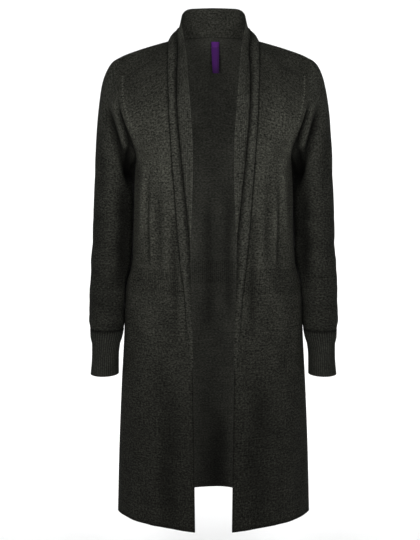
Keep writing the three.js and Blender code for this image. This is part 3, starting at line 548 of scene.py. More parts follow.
@dataclass
class Cloth:
    """A grid of cloth points: places, wall normals, knitting map, and the heights that its painted shade and
    light are worked out from.
    """

    places: np.ndarray
    normals: np.ndarray
    uv: np.ndarray
    folds_and_painted_shade: np.ndarray
    closed: bool = False

    @classmethod
    def of(
        cls,
        grid: np.ndarray,
        sign: float = 1,
        raised: np.ndarray | None = None,
        closed: bool = False,
        folds_and_painted_shade: np.ndarray | None = None,
    ) -> "Cloth":
        """Cloth over a grid, moved along its normals by how far it is raised.

        Args:
            grid: rows and columns of points.
            sign: 1 if rows across columns point outwards, else -1.
            raised: millimetres for each point, or none.
            closed: whether the columns run round a tube.
            folds_and_painted_shade: the height that each point's painted shade and light are worked out
                from, where that isn't how far it is raised.

        Returns:
            The cloth, with a map in metres of its courses and wales.
        """
        if raised is not None:
            grid = grid + grid_normals(grid, sign, closed) * raised[..., None]
        rows = np.linalg.norm(np.diff(grid, axis=0), axis=2).mean(1)
        v = np.repeat(np.concatenate([[0], np.cumsum(rows)])[:, None], grid.shape[1], 1)
        wrap = np.concatenate([grid, grid[:, :1]], 1) if closed else grid
        steps = np.linalg.norm(np.diff(wrap, axis=1), axis=2)
        u = np.concatenate([np.zeros((len(grid), 1)), np.cumsum(steps, 1)], 1)[:, : grid.shape[1]]
        u = u - u[:, -1:] if not closed else u
        if folds_and_painted_shade is None:
            folds_and_painted_shade = np.zeros(grid.shape[:2]) if raised is None else raised
        return cls(grid, grid_normals(grid, sign, closed), np.stack([u, v], -1) * MM, folds_and_painted_shade, closed)

    def flipped(self) -> "Cloth":
        """The same cloth on the other side of the garment.

        Returns:
            The cloth, with its map moved so that the yarn's specks differ.
        """
        turn = np.array([-1, 1, 1])
        uv = self.uv + MIRROR_SHIFT
        return Cloth(self.places * turn, self.normals * turn, uv, self.folds_and_painted_shade, self.closed)

    def area(self) -> float:
        """The cloth's own area in square metres.

        Returns:
            The area of its middle surface.
        """
        grid = np.concatenate([self.places, self.places[:, :1]], 1) if self.closed else self.places
        a, b = grid[1:, 1:] - grid[:-1, :-1], grid[1:, :-1] - grid[:-1, 1:]
        return float(np.linalg.norm(np.cross(a, b), axis=2).sum() / 2 * MM * MM)


def part_seam(
    line: np.ndarray, normals: np.ndarray, into: np.ndarray, closed: bool = False
) -> tuple[np.ndarray, np.ndarray]:
    """The shared normal of two pieces along a seam, and half the gap between them.

    Args:
        line: the seam's points.
        normals: the sum of both pieces' normals there.
        into: points of the second piece next to the seam.
        closed: whether the seam is a ring.

    Returns:
        A normal and a shift towards the second piece for each point.
    """
    run = unit(np.roll(line, -1, 0) - np.roll(line, 1, 0) if closed else np.gradient(line, axis=0))
    normal = unit(normals - run * (normals * run).sum(-1, keepdims=True))
    across = np.cross(run, normal)
    side = np.sign((across * (into - line)).sum(-1, keepdims=True))
    return normal, across * side * SEAM / 2


def fold_light(height: np.ndarray) -> np.ndarray:
    """Painted shade and highlight for a crease's height: darker down in a trough, a little lighter on a
    ridge.

    Args:
        height: how high the crease stands, real or only painted, in millimetres.

    Returns:
        A factor on the yarn's colour.
    """
    trough = np.exp(np.minimum(height, 0) / TROUGH_FADE)
    crest = CREST_GAIN * np.maximum(height - CREST_START, 0)
    return np.where(height < 0, trough, 1 + RIDGE_GAIN * np.tanh(height / RIDGE_FADE) + crest)


def save_light(mesh: bpy.types.Mesh, light: np.ndarray) -> None:
    """Writes the painted light and shade of each point, for the finishes to multiply into their colours."""
    mesh.attributes.new("fold", "FLOAT", "POINT").data.foreach_set("value", light.astype(np.float32))


def shell_faces(rows: int, columns: int, closed: bool) -> np.ndarray:
    """The faces of a shell over a grid: two skins, the outer one's points first, and the rims.

    Args:
        rows: rows of the grid.
        columns: columns of the grid.
        closed: whether the columns run round a tube.

    Returns:
        Four point numbers for each face.
    """
    count = rows * columns
    j = np.arange(columns if closed else columns - 1)
    low, high = j, (j + 1) % columns
    i, j = np.meshgrid(np.arange(rows - 1), j, indexing="ij")
    a, b = (i * columns + j).ravel(), (i * columns + (j + 1) % columns).ravel()
    c, d = b + columns, a + columns
    skins = [np.stack([a, b, c, d], 1), np.stack([a, d, c, b], 1) + count]
    top = (rows - 1) * columns
    rims = [np.stack([high, low, low + count, high + count], 1),
            np.stack([low + top, high + top, high + top + count, low + top + count], 1)]
    if not closed:
        i = np.arange(rows - 1) * columns
        end = i + columns - 1
        rims += [np.stack([i, i + columns, i + columns + count, i + count], 1),
                 np.stack([end + columns, end, end + count, end + columns + count], 1)]
    return np.concatenate(skins + rims)


def faces_inwards(points: np.ndarray, faces: np.ndarray) -> bool:
    """Whether a closed shell is inside out, by the sign of its volume.

    Args:
        points: its points.
        faces: its faces, each of four points.

    Returns:
        True if its faces point inwards.
    """
    p = points[faces]
    sides = p[:, 1:] - p[:, :1]
    halves = np.cross(sides[:, 0], sides[:, 1]) + np.cross(sides[:, 1], sides[:, 2])
    return bool((halves * p[:, 0]).sum() < 0)


def unwrapped(maps: np.ndarray, width: float) -> np.ndarray:
    """A tube's map, with the faces that cross its joint carried on past its far edge.

    Args:
        maps: the map at each corner of each face, four to a face.
        width: how wide the whole map is.

    Returns:
        The map at each corner.
    """
    quads = maps.reshape(-1, 4, 2)
    crossing = (quads[..., 0].max(1) - quads[..., 0].min(1)) > width / 2
    quads[crossing, :, 0] += np.where(quads[crossing, :, 0] < width / 2, width, 0)
    return quads.reshape(-1, 2)


def build_mesh(name: str, cloth: Cloth, thick: float) -> bpy.types.Mesh:
    """A closed shell round a cloth's grid.

    Args:
        name: the mesh's name.
        cloth: the grid.
        thick: the shell's thickness in millimetres.

    Returns:
        The mesh in metres, with smooth skins and sharp rims.
    """
    outer, inner = (cloth.places + cloth.normals * side * thick / 2 for side in (1, -1))
    faces = shell_faces(*outer.shape[:2], cloth.closed)
    points = np.concatenate([outer.reshape(-1, 3), inner.reshape(-1, 3)]) * MM
    if faces_inwards(points, faces):
        faces = faces[:, ::-1]
    mesh = bpy.data.meshes.new(name)
    mesh.from_pydata(points.tolist(), [], faces.tolist())
    layer = mesh.uv_layers.new(name="knit")
    corner = np.empty(len(mesh.loops), np.int32)
    mesh.loops.foreach_get("vertex_index", corner)
    maps = np.concatenate([cloth.uv.reshape(-1, 2)] * 2)[corner]
    if cloth.closed:
        last_step = np.linalg.norm(outer[0, 0] - outer[0, -1]) * MM
        maps = unwrapped(maps, maps[:, 0].max() + last_step)
    layer.data.foreach_set("uv", maps.astype(np.float32).ravel())
    # Painted shade in troughs and painted light on ridges; the inner skin gets the reverse.
    save_light(mesh, np.concatenate([fold_light(cloth.folds_and_painted_shade).ravel(), fold_light(-cloth.folds_and_painted_shade).ravel()]))
    mesh.polygons.foreach_set("use_smooth", np.ones(len(mesh.polygons), bool))
    mesh.update()
    mesh.set_sharp_from_angle(angle=SHARP_ANGLE)
    return mesh


def add_object(mesh: bpy.types.Mesh, material: bpy.types.Material) -> bpy.types.Object:
    """Puts a mesh in the scene as a piece that rides with the garment.

    Args:
        mesh: the piece's mesh.
        material: its finish.

    Returns:
        The piece.
    """
    mesh.materials.clear()
    mesh.materials.append(material)
    piece = bpy.data.objects.new(mesh.name, mesh)
    bpy.context.scene.collection.objects.link(piece)
    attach(piece, "root")
    return piece


class Nodes:
    """Adds nodes to a tree and joins them, so that a pattern reads as a short sum."""

    def __init__(self, tree: bpy.types.NodeTree) -> None:
        """Keeps the tree that the nodes go into."""
        self.tree = tree

    def add(self, kind: str, inputs: dict | None = None, **settings: object) -> bpy.types.Node:
        """A node with its settings, its inputs linked or set.

        Args:
            kind: the node's type.
            inputs: sockets or values by the input's name or place.
            settings: the node's own properties.

        Returns:
            The node.
        """
        node = self.tree.nodes.new(kind)
        for key, value in settings.items():
            setattr(node, key, value)
        self.set_inputs(node, inputs or {})
        return node

    def set_inputs(self, node: bpy.types.Node, inputs: dict) -> None:
        """Links or sets a node's inputs by name.

        Args:
            node: the node.
            inputs: sockets or values by the input's name or place.
        """
        for key, value in inputs.items():
            if isinstance(value, bpy.types.NodeSocket):
                self.tree.links.new(value, node.inputs[key])
            else:
                node.inputs[key].default_value = value

    def math(self, operation: str, a: object, b: object = 0.0, clamp: bool = False) -> bpy.types.NodeSocket:
        """The result of one sum."""
        return self.add("ShaderNodeMath", {0: a, 1: b}, operation=operation, use_clamp=clamp).outputs[0]

    def noise(self, vector: object, scale: Sequence[float], detail: float = 2.0) -> bpy.types.NodeSocket:
        """Smooth noise with its own scale each way, in cycles a metre."""
        at = self.add("ShaderNodeVectorMath", {0: vector, 1: scale}, operation="MULTIPLY").outputs[0]
        return self.add("ShaderNodeTexNoise", {"Vector": at, "Scale": 1.0, "Detail": detail}).outputs["Fac"]

    def fold(self) -> bpy.types.NodeSocket:
        """The painted light and shade that the mesh stores for each of its points."""
        return self.add("ShaderNodeAttribute", attribute_name="fold").outputs["Fac"]

    def dimmed(self, colour: object, light: bpy.types.NodeSocket) -> bpy.types.NodeSocket:
        """A colour made darker or lighter.

        Args:
            colour: a socket, or a colour of four numbers.
            light: how light it is to be.

        Returns:
            The socket of the new colour.
        """
        grey = self.add("ShaderNodeCombineColor", dict.fromkeys(range(3), light)).outputs[0]
        both = {0: 1.0, 6: colour, 7: grey}
        return self.add("ShaderNodeMix", both, data_type="RGBA", blend_type="MULTIPLY").outputs[2]


def plain_material(
    name: str, roughness: float, specular: float
) -> tuple[bpy.types.Material, Nodes, bpy.types.Node]:
    """A new material with one plain shader.

    Args:
        name: the material's name.
        roughness: how matte it is.
        specular: how much light its surface mirrors.

    Returns:
        The material, a node maker for its tree, and its shader.
    """
    material = bpy.data.materials.new(name)
    material.use_nodes = True
    shader = material.node_tree.nodes["Principled BSDF"]
    shader.inputs["Roughness"].default_value = roughness
    shader.inputs["Specular IOR Level"].default_value = specular
    return material, Nodes(material.node_tree), shader


def shader_group(
    name: str, inputs: dict[str, object], outputs: dict[str, str]
) -> tuple[bpy.types.NodeTree, Nodes, bpy.types.Node, bpy.types.Node]:
    """A new shader node group with named sockets.

    Args:
        name: the group's name.
        inputs: default values by socket name: a number, a colour or a vector.
        outputs: socket kinds by socket name.

    Returns:
        The tree, its node maker, its input node and its output node.
    """
    tree = bpy.data.node_groups.new(name, "ShaderNodeTree")
    for key, value in inputs.items():
        kind = {1: "NodeSocketFloat", 3: "NodeSocketVector", 4: "NodeSocketColor"}[np.size(value)]
        socket = tree.interface.new_socket(key, in_out="INPUT", socket_type=kind)
        socket.default_value = value
    for key, kind in outputs.items():
        tree.interface.new_socket(key, in_out="OUTPUT", socket_type=kind)
    nodes = Nodes(tree)
    return tree, nodes, nodes.add("NodeGroupInput"), nodes.add("NodeGroupOutput")


def knit_relief_group() -> bpy.types.NodeTree:
    """Rows of plain knit: leaning legs of yarn in pairs, as heights from 0 to 1.

    Returns:
        The group.
    """
    tree, n, given, out = shader_group(
        "KnitRelief",
        {"Map": (0.0, 0.0, 0.0), "Wale": 0.0016, "Course": 0.0013},
        {"Height": "NodeSocketFloat"},
    )
    axes = n.add("ShaderNodeSeparateXYZ", {0: given.outputs["Map"]})
    x = n.math("DIVIDE", axes.outputs["X"], given.outputs["Wale"])
    y = n.math("DIVIDE", axes.outputs["Y"], given.outputs["Course"])
    lean = n.math("ABSOLUTE", n.math("SUBTRACT", n.math("FRACT", x), 0.5))
    row = n.math("COSINE", n.math("MULTIPLY", n.math("ADD", y, n.math("MULTIPLY", lean, 1.6)), math.tau))
    leg = n.math("ABSOLUTE", n.math("SINE", n.math("MULTIPLY", x, math.tau)))
    height = n.math("MULTIPLY", leg, n.math("ADD", n.math("MULTIPLY", row, 0.3), 0.7))
    tree.links.new(height, out.inputs["Height"])
    return tree


def rib_relief_group() -> bpy.types.NodeTree:
    """Upright ribs between two heights of the garment, as heights from 0 to 1.

    Returns:
        The group.
    """
    tree, n, given, out = shader_group(
        "RibBand",
        {"Map": (0.0, 0.0, 0.0), "Rise": 0.0, "Pitch": 0.004, "Low": -0.5, "High": -0.44},
        {"Height": "NodeSocketFloat", "Inside": "NodeSocketFloat"},
    )
    axes = n.add("ShaderNodeSeparateXYZ", {0: given.outputs["Map"]})
    turns = n.math("DIVIDE", axes.outputs["X"], given.outputs["Pitch"])
    wave = n.math("COSINE", n.math("MULTIPLY", turns, math.tau))
    ends = []
    for key, soft in (("Low", 0.004), ("High", -0.003)):
        edge = given.outputs[key]
        step = {0: given.outputs["Rise"], 1: edge, 2: n.math("ADD", edge, soft)}
        ends.append(n.add("ShaderNodeMapRange", step).outputs[0])
    inside = n.math("MULTIPLY", *ends)
    height = n.math("MULTIPLY", inside, n.math("ADD", n.math("MULTIPLY", wave, 0.5), 0.5))
    tree.links.new(height, out.inputs["Height"])
    tree.links.new(inside, out.inputs["Inside"])
    return tree


def heather_group() -> bpy.types.NodeTree:
    """Yarn spun from dark and light fibres: specks drawn out along the courses, with faint streaks.

    Returns:
        The group.
    """
    shades = {"Dark": (0.0, 0.0, 0.0, 1.0), "Light": (1.0, 1.0, 1.0, 1.0)}
    tree, n, given, out = shader_group(
        "HeatherYarn",
        {"Map": (0.0, 0.0, 0.0), **shades, "Speck": 0.5, "Streak": 0.2},
        {"Color": "NodeSocketColor", "Fibre": "NodeSocketFloat"},
    )
    place = given.outputs["Map"]
    speck = n.math("SUBTRACT", n.noise(place, (240, 330, 1), 3), 0.5)
    fleck = n.math("SUBTRACT", n.noise(place, (480, 640, 1), 1), 0.5)
    cloud = n.math("SUBTRACT", n.noise(place, (38, 52, 1), 2), 0.5)
    streak = n.math("SUBTRACT", n.noise(place, (18, 300, 1), 1), 0.5)
    grain = n.math("ADD", n.math("MULTIPLY", speck, 3.2), n.math("MULTIPLY", fleck, 1.8))
    fine = n.math("MULTIPLY", grain, given.outputs["Speck"])
    streaks = n.math("MULTIPLY", streak, given.outputs["Streak"])
    soft = n.math("ADD", streaks, n.math("MULTIPLY", cloud, 0.25))
    share = n.math("POWER", n.math("ADD", n.math("ADD", fine, soft), 0.5, clamp=True), 1.6)
    ends = {0: share, 6: given.outputs["Dark"], 7: given.outputs["Light"]}
    mixed = n.add("ShaderNodeMix", ends, data_type="RGBA")
    tree.links.new(mixed.outputs[2], out.inputs["Color"])
    tree.links.new(share, out.inputs["Fibre"])
    return tree


@dataclass(frozen=True)
class KnitFinish:
    """Knitted yarn: its two shades, its stitches and an optional band of fine ribs.

    Attributes:
        name: the material's name.
        dark: the shade of its dark fibres.
        light: the shade of its light fibres.
        wale: a stitch's width in metres.
        course: a stitch's height in metres.
        depth: how deep the stitches are, in metres.
        speck: how strongly the fibres differ from spot to spot.
        streak: how strongly they differ from course to course.
        band: lowest and highest height of the band of ribs, in metres.
        band_pitch: a rib's width in metres.
        band_depth: how deep the ribs are, in metres.
        fade: how much painted shade darkens the cloth on its way down.
        fade_from: the height where it starts to.
        fade_to: the height where it ends.
        groove: how much painted shade darkens the grooves between the ribs.
        stitch_floor: how much light is left in the gaps between stitches, as painted shade.
        stitch_rise: how much painted light the stitches' tops get over the gaps.
        fibre_depth: how far light fibres stand out, in metres.
    """

    name: str
    dark: tuple[float, float, float]
    light: tuple[float, float, float]
    wale: float = 0.0021
    course: float = 0.0016
    depth: float = 0.00035
    speck: float = 1.0
    streak: float = 0.22
    band: tuple[float, float] = (-9.0, -8.0)
    band_pitch: float = 0.0042
    band_depth: float = 0.0007
    fade: float = 0.0
    fade_from: float = -0.25
    fade_to: float = -0.9
    groove: float = 0.28
    stitch_floor: float = 0.78
    stitch_rise: float = 0.35
    fibre_depth: float = 0.0004

    def material(self, groups: "PatternGroups") -> bpy.types.Material:
        """Makes the material.

        Args:
            groups: the shared pattern groups.

        Returns:
            The material.
        """
        material, n, shader = plain_material(self.name, roughness=1.0, specular=0.05)
        tree = material.node_tree
        place = n.add("ShaderNodeUVMap", uv_map="knit").outputs[0]
        spot = n.add("ShaderNodeTexCoord").outputs["Object"]
        rise = n.add("ShaderNodeSeparateXYZ", {0: spot}).outputs["Z"]
        yarn = n.add("ShaderNodeGroup", node_tree=groups.heather)
        n.set_inputs(yarn, {"Map": place, "Dark": (*self.dark, 1), "Light": (*self.light, 1)})
        n.set_inputs(yarn, {"Speck": self.speck, "Streak": self.streak})
        knit = n.add("ShaderNodeGroup", node_tree=groups.knit)
        n.set_inputs(knit, {"Map": place, "Wale": self.wale, "Course": self.course})
        rib = n.add("ShaderNodeGroup", node_tree=groups.rib)
        n.set_inputs(rib, {"Map": place, "Rise": rise, "Pitch": self.band_pitch})
        n.set_inputs(rib, {"Low": self.band[0], "High": self.band[1]})
        # Painted shade: darker in the rib band's grooves, in the gaps between stitches and lower down the
        # garment, times the mesh's painted light and shade.
        hollow = n.math("MULTIPLY", rib.outputs["Inside"], n.math("SUBTRACT", 1.0, rib.outputs["Height"]))
        lower = n.add("ShaderNodeMapRange", {0: rise, 1: self.fade_from, 2: self.fade_to}).outputs[0]
        dim = n.math("SUBTRACT", 1.0, n.math("MULTIPLY", lower, self.fade))
        groove = n.math("SUBTRACT", 1.0, n.math("MULTIPLY", hollow, self.groove))
        stitch = n.math("MULTIPLY", knit.outputs["Height"], self.stitch_rise)
        for factor in (groove, n.math("ADD", stitch, self.stitch_floor), n.fold()):
            dim = n.math("MULTIPLY", dim, factor)
        tree.links.new(n.dimmed(yarn.outputs["Color"], dim), shader.inputs["Base Color"])
        relief = n.math("MULTIPLY", knit.outputs["Height"], self.depth)
        relief = n.math("ADD", relief, n.math("MULTIPLY", rib.outputs["Height"], self.band_depth))
        relief = n.math("ADD", relief, n.math("MULTIPLY", yarn.outputs["Fibre"], self.fibre_depth))
        bump = n.add("ShaderNodeBump", {"Height": relief, "Strength": 1.0, "Distance": 1.0})
        tree.links.new(bump.outputs[0], shader.inputs["Normal"])
        return material


@dataclass(frozen=True)
class RibbonFinish:
    """Smooth woven ribbon with fine cross threads."""

    name: str
    colour: tuple[float, float, float]

    def material(self) -> bpy.types.Material:
        """Makes the material.

        Returns:
            The material.
        """
        material, n, shader = plain_material(self.name, roughness=0.6, specular=0.15)
        tree = material.node_tree
        # The ribbon's colour, darkened and lightened by the mesh's painted shade and light.
        tree.links.new(n.dimmed((*self.colour, 1), n.fold()), shader.inputs["Base Color"])
        spot = n.add("ShaderNodeTexCoord").outputs["Object"]
        thread = n.add("ShaderNodeTexWave", {"Vector": spot, "Scale": 900.0}, bands_direction="Z")
        height = {"Height": thread.outputs["Fac"], "Strength": 0.4, "Distance": 0.0001}
        tree.links.new(n.add("ShaderNodeBump", height).outputs[0], shader.inputs["Normal"])
        return material


@dataclass(frozen=True)
class PatternGroups:
    """The shader groups that several materials share."""

    knit: bpy.types.NodeTree
    rib: bpy.types.NodeTree
    heather: bpy.types.NodeTree

    @classmethod
    def create(cls) -> "PatternGroups":
        """Makes the groups."""
        return cls(knit_relief_group(), rib_relief_group(), heather_group())


FIBRE = (0.008, 0.008, 0.007)  # the darkest fibre in the yarn
WAIST_BAND = (-0.487, -0.437)  # heights of the darker band of fine ribs
BODY_YARN = KnitFinish(
    "BodyKnit", FIBRE, (0.122, 0.123, 0.1),
    band=WAIST_BAND, band_depth=0.0005, fade=0.62, fade_to=-0.74, speck=0.5,
)
BACK_YARN = KnitFinish(
    "BackKnit", (0.014, 0.014, 0.0125), (0.08, 0.081, 0.067),
    band=WAIST_BAND, band_depth=0.0005, fade=0.35, speck=0.42,
)
# A darker copy of the body's yarn that darkens further down the sleeve: painted shade for the sleeves, which
# hang in less light than the chest.
SLEEVE_YARN_PAINTED_DARKER = KnitFinish(
    "SleeveKnit", FIBRE, (0.108, 0.11, 0.09), fade=0.52, fade_from=-0.06, fade_to=-0.36, speck=0.5
)
CUFF_YARN = KnitFinish("CuffRib", (0.006, 0.0062, 0.0055), (0.068, 0.07, 0.058), streak=0.1, speck=0.22)
COLLAR_YARN = KnitFinish(
    "CollarKnit", FIBRE, (0.09, 0.091, 0.075), wale=0.0026, course=0.0021, depth=0.0005, speck=0.42
)
LAPEL_YARN = KnitFinish(
    "LapelRib", FIBRE, (0.115, 0.116, 0.096),
    band=(-5.0, 5.0), band_pitch=0.0036, band_depth=0.0004, speck=0.5,
)
ROLL_YARN = KnitFinish(
    "RollKnit", FIBRE, (0.112, 0.113, 0.093),
    wale=0.0036, course=0.003, depth=0.0007, speck=0.55, fade=0.55,
)
LABEL_RIBBON = RibbonFinish("LabelRibbon", (0.055, 0.0045, 0.108))
TAB_RIBBON = RibbonFinish("TabRibbon", (0.08, 0.009, 0.15))


def eased_edge(points: Sequence[Sequence[float]]) -> np.ndarray:
    """A panel's edge from underarm to shoulder, its rows drawn together towards the top.

    Args:
        points: the edge's own points.

    Returns:
        A point for each row.
    """
    fine = Curve(points).fine
    eased = np.sin(np.pi / 2 * np.arange(UPPER_ROWS + 1) / UPPER_ROWS) ** ROW_EASE
    z = mix(fine[0, 2], fine[-1, 2], eased)
    return np.stack([np.interp(z, fine[:, 2], fine[:, k]) for k in range(3)], -1)


def arc_row(armhole: np.ndarray, neck: np.ndarray, arm_turn: float, neck_turn: float) -> np.ndarray:
    """One row of an upper panel: an arc that turns by the given angles at its two ends.

    Args:
        armhole: where it starts.
        neck: where it ends.
        arm_turn: degrees at the armhole.
        neck_turn: degrees at the neck.

    Returns:
        A point for each column.
    """
    chord = neck - armhole
    reach = np.linalg.norm(chord)
    side = np.sign(chord[1]) or 1.0
    rise = chord[2] / np.hypot(chord[0], chord[1])
    leave, arrive = (
        np.array([-math.cos(math.radians(a)), side * math.sin(math.radians(a)), rise]) * reach
        for a in (arm_turn, neck_turn)
    )
    return hermite(armhole, leave, neck, arrive, np.linspace(0, 1, HALF_COLUMNS + 1)[:, None])


def upper_rows(
    armhole: np.ndarray, neck: np.ndarray, half: str, below: np.ndarray, above: np.ndarray
) -> np.ndarray:
    """Rows above the underarm: arcs, corrected to join the row below and the line above.

    Args:
        armhole: the armhole's points, one for each row.
        neck: the neck's or centre's points.
        half: front or back.
        below: the row that they start from.
        above: the line that they end on.

    Returns:
        The grid of rows.
    """
    share = np.linspace(0, 1, UPPER_ROWS + 1)
    arm_turn = table_track(TURNS, "share", f"{half}_arm")(share)
    neck_turn = table_track(TURNS, "share", "front_neck")(share) * (half == "front")
    arcs = np.stack([arc_row(*ends) for ends in zip(armhole, neck, arm_turn, neck_turn)])
    low, high = 1 - smooth(share, 0, 0.2), smooth(share, 0.45, 1)
    return arcs + (below - arcs[0]) * low[:, None, None] + (above - arcs[-1]) * high[:, None, None]


def edge_fade(rows: int, columns: int, last: bool) -> np.ndarray:
    """1 over a panel and 0 along its sewn edges, so that creases die out at the seams.

    Args:
        rows: how many rows it has, of which the last is sewn.
        columns: how many columns it has, of which the first is sewn.
        last: whether the last column is sewn too.

    Returns:
        A share for each point.
    """
    i, j = np.arange(rows)[:, None], np.arange(columns)[None, :]
    fade = smooth(j, 0, EDGE_POINTS) * smooth(rows - 1 - i, 0, EDGE_POINTS)
    return fade * smooth(columns - 1 - j, 0, EDGE_POINTS) if last else fade


def waves(places: np.ndarray, seed: int, size: float) -> np.ndarray:
    """The slight unevenness of hung knitwear: long waves through space, mostly upright.

    Args:
        places: points on the cloth.
        seed: picks the waves.
        size: how high they are, in millimetres.

    Returns:
        How far each point is moved.
    """
    rng = np.random.default_rng(seed)
    total = np.zeros(places.shape[:-1])
    for _ in range(WAVE_COUNT):
        turn = rng.uniform(0, math.pi)
        ahead = np.array([math.cos(turn), math.sin(turn), rng.normal(0, 0.35)])
        total += np.sin(places @ ahead * math.tau / rng.uniform(*WAVE_LENGTHS) + rng.uniform(0, math.tau))
    return total * size / 3


Ref = tuple[Cloth, int, int]  # a piece of cloth, and a row and a column of it


@dataclass
class Half:
    """The cloth of one half of the cardigan, worked out at +X, with its seams sewn.

    Attributes:
        side: which half it is, for the creases that differ.
    """

    side: Side

    def __post_init__(self) -> None:
        """Works out every piece of the half."""
        keys = ("side", "front", "back", "front_power", "back_power")
        self.torso = {key: table_track(TORSO, "z", key) for key in keys}
        self.heights = levels(TORSO)
        self.underarm = len(self.heights) - 1
        self.top = self.underarm + UPPER_ROWS
        self.chest = self.underarm + CHEST_SEAM_ROW
        self.foot = int(np.abs(self.heights - LAPEL_FOOT_Z).argmin())
        self.front = self.make_front()
        self.back = self.make_back()
        self.collar = self.make_collar()
        self.lapel = self.make_lapel()
        self.sleeve = self.make_sleeve()
        self.roll = self.make_roll()
        self.sew_pieces()

    def section_row(self, z: float, half: str, last: float) -> np.ndarray:
        """The torso's section at a height, from the side seam to an angle, evenly spaced.

        Args:
            z: the height.
            half: front or back.
            last: the angle, in radians.

        Returns:
            A point for each column.
        """
        angle = np.linspace(0, last, SAMPLES + 1)
        power = float(self.torso[f"{half}_power"](z))
        x = self.torso["side"](z) * np.abs(np.cos(angle)) ** (2 / power)
        y = self.torso[half](z) * np.sin(angle) ** (2 / power) * (-1 if half == "front" else 1)
        return evenly(np.stack([x, y, np.full_like(x, z)], -1), HALF_COLUMNS)

    def raised(
        self, grid: np.ndarray, creases: Sequence[Crease], fade: np.ndarray, uneven: float
    ) -> np.ndarray:
        """How far each point of a panel is moved outwards.

        Args:
            grid: the panel's points.
            creases: its creases.
            fade: how much of them is left at each point.
            uneven: how high the waves of unevenness are.

        Returns:
            Millimetres for each point.
        """
        signed = grid * [self.side.value, 1, 1]
        folds_and_painted_shade = crease_height(creases, signed[..., 0], signed[..., 2])
        return (folds_and_painted_shade + waves(signed, BODY_SEED, uneven)) * fade

    def make_front(self) -> Cloth:
        """A front: rows from hem to shoulder, columns from side seam to front edge.

        Returns:
            The cloth.
        """
        edge = Track(*zip(*FRONT_EDGE))
        side, power = (self.torso[key](self.heights) for key in ("side", "front_power"))
        angles = np.arccos((edge(self.heights) / side) ** (power / 2))
        lower = np.stack([self.section_row(z, "front", a) for z, a in zip(self.heights, angles)])
        neck = eased_edge([lower[-1, -1], *NECK_FRONT[1:]])
        armhole = Curve(ARMHOLE_FRONT).spaced(UPPER_ROWS)
        upper = upper_rows(armhole, neck, "front", lower[-1], Curve(SHOULDER).spaced(HALF_COLUMNS))
        grid = np.concatenate([lower, upper[1:]])
        raised = self.raised(grid, FRONT_CREASES, edge_fade(*grid.shape[:2], last=True), FRONT_WAVES)
        across, z = np.linalg.norm(grid - grid[:, -1:], axis=2), grid[..., 2]
        reach = table_track(ROLL_FRONT, "at", "outer")(z[:, -1:])
        # Painted shade: a dark line along the roll's outer edge, dark lines along the front edge and the
        # hem, and a darker shoulder.
        beside = BESIDE_ROLL_PAINTED_SHADE.near(across - reach) * smooth(z, *BESIDE_ROLL_FADE)
        bound = BOUND_EDGE_PAINTED_SHADE.near(across) * (1 - smooth(z, *BOUND_EDGE_FADE)) + BOUND_EDGE_PAINTED_SHADE.near(z - z[0, 0])
        shoulder = SHOULDER_SHADE * smooth(z, *SHOULDER_SHADE_RISE)
        return Cloth.of(grid, 1, raised, folds_and_painted_shade=raised + beside + bound + shoulder)

    def make_back(self) -> Cloth:
        """Half the back: rows from hem to shoulder and neck, columns from side seam to the middle.

        Returns:
            The cloth.
        """
        lower = np.stack([self.section_row(z, "back", math.pi / 2) for z in self.heights])
        middle = eased_edge([lower[-1, -1], *CENTRE_BACK[1:]])
        armhole = Curve(ARMHOLE_BACK).spaced(UPPER_ROWS)
        neck = Curve(NECK_BACK).spaced(HALF_COLUMNS - SHOULDER_COLUMNS)
        above = np.concatenate([Curve(SHOULDER).spaced(SHOULDER_COLUMNS), neck[1:]])
        upper = upper_rows(armhole, middle, "back", lower[-1], above)
        grid = np.concatenate([lower, upper[1:]])
        raised = self.raised(grid, BACK_CREASES, edge_fade(*grid.shape[:2], last=False), BACK_WAVES)
        # Painted light and shade along the neck seam: a dark line on the inside with a lighter band below
        # it, reversed on the outside.
        down = (len(grid) - 1 - np.arange(len(grid)))[:, None]
        sewn = NECK_SEAM_PAINTED_LINE.near(down) + NECK_SEAM_PAINTED_BAND.near(down - NECK_SEAM_PAINTED_BAND_ROW)
        neck = smooth(np.arange(grid.shape[1]), SHOULDER_COLUMNS, SHOULDER_COLUMNS + 6)[None, :]
        return Cloth.of(grid, -1, raised, folds_and_painted_shade=raised + sewn * neck)

    def neck_seam(self, first: int) -> np.ndarray:
        """The seam between panels and collar, from a row of the front to the centre of the back."""
        behind = self.back.places[self.top, SHOULDER_COLUMNS + 1 :]
        return np.concatenate([self.front.places[first:, -1], behind])

    def make_collar(self) -> Cloth:
        """Half the collar: rows from the chest seam to the centre back, columns to its free edge.

        Returns:
            The cloth.
        """
        seam = Curve((*NECK_FRONT[3:], *NECK_BACK[1:]))
        middle, edge = Curve(COLLAR_MIDDLE), Curve(COLLAR_EDGE)
        rows = []
        for start in self.neck_seam(self.chest):
            share = seam.share[np.linalg.norm(seam.fine - start, axis=1).argmin()]
            rows.append(Curve([start, middle.at(share), edge.at(share)]).spaced(COLLAR_COLUMNS))
        grid = np.stack(rows)
        sunk = self.tucked(grid, TUCKED)
        # Painted shade where the collar comes out from under the roll: twice the tuck's sinking and a wider
        # trough, plus the painted edge light.
        shade = 2 * sunk + self.tucked(grid, TUCKED_SHADE)
        return Cloth.of(grid, 1, sunk, folds_and_painted_shade=shade + self.rolled_edge(grid))

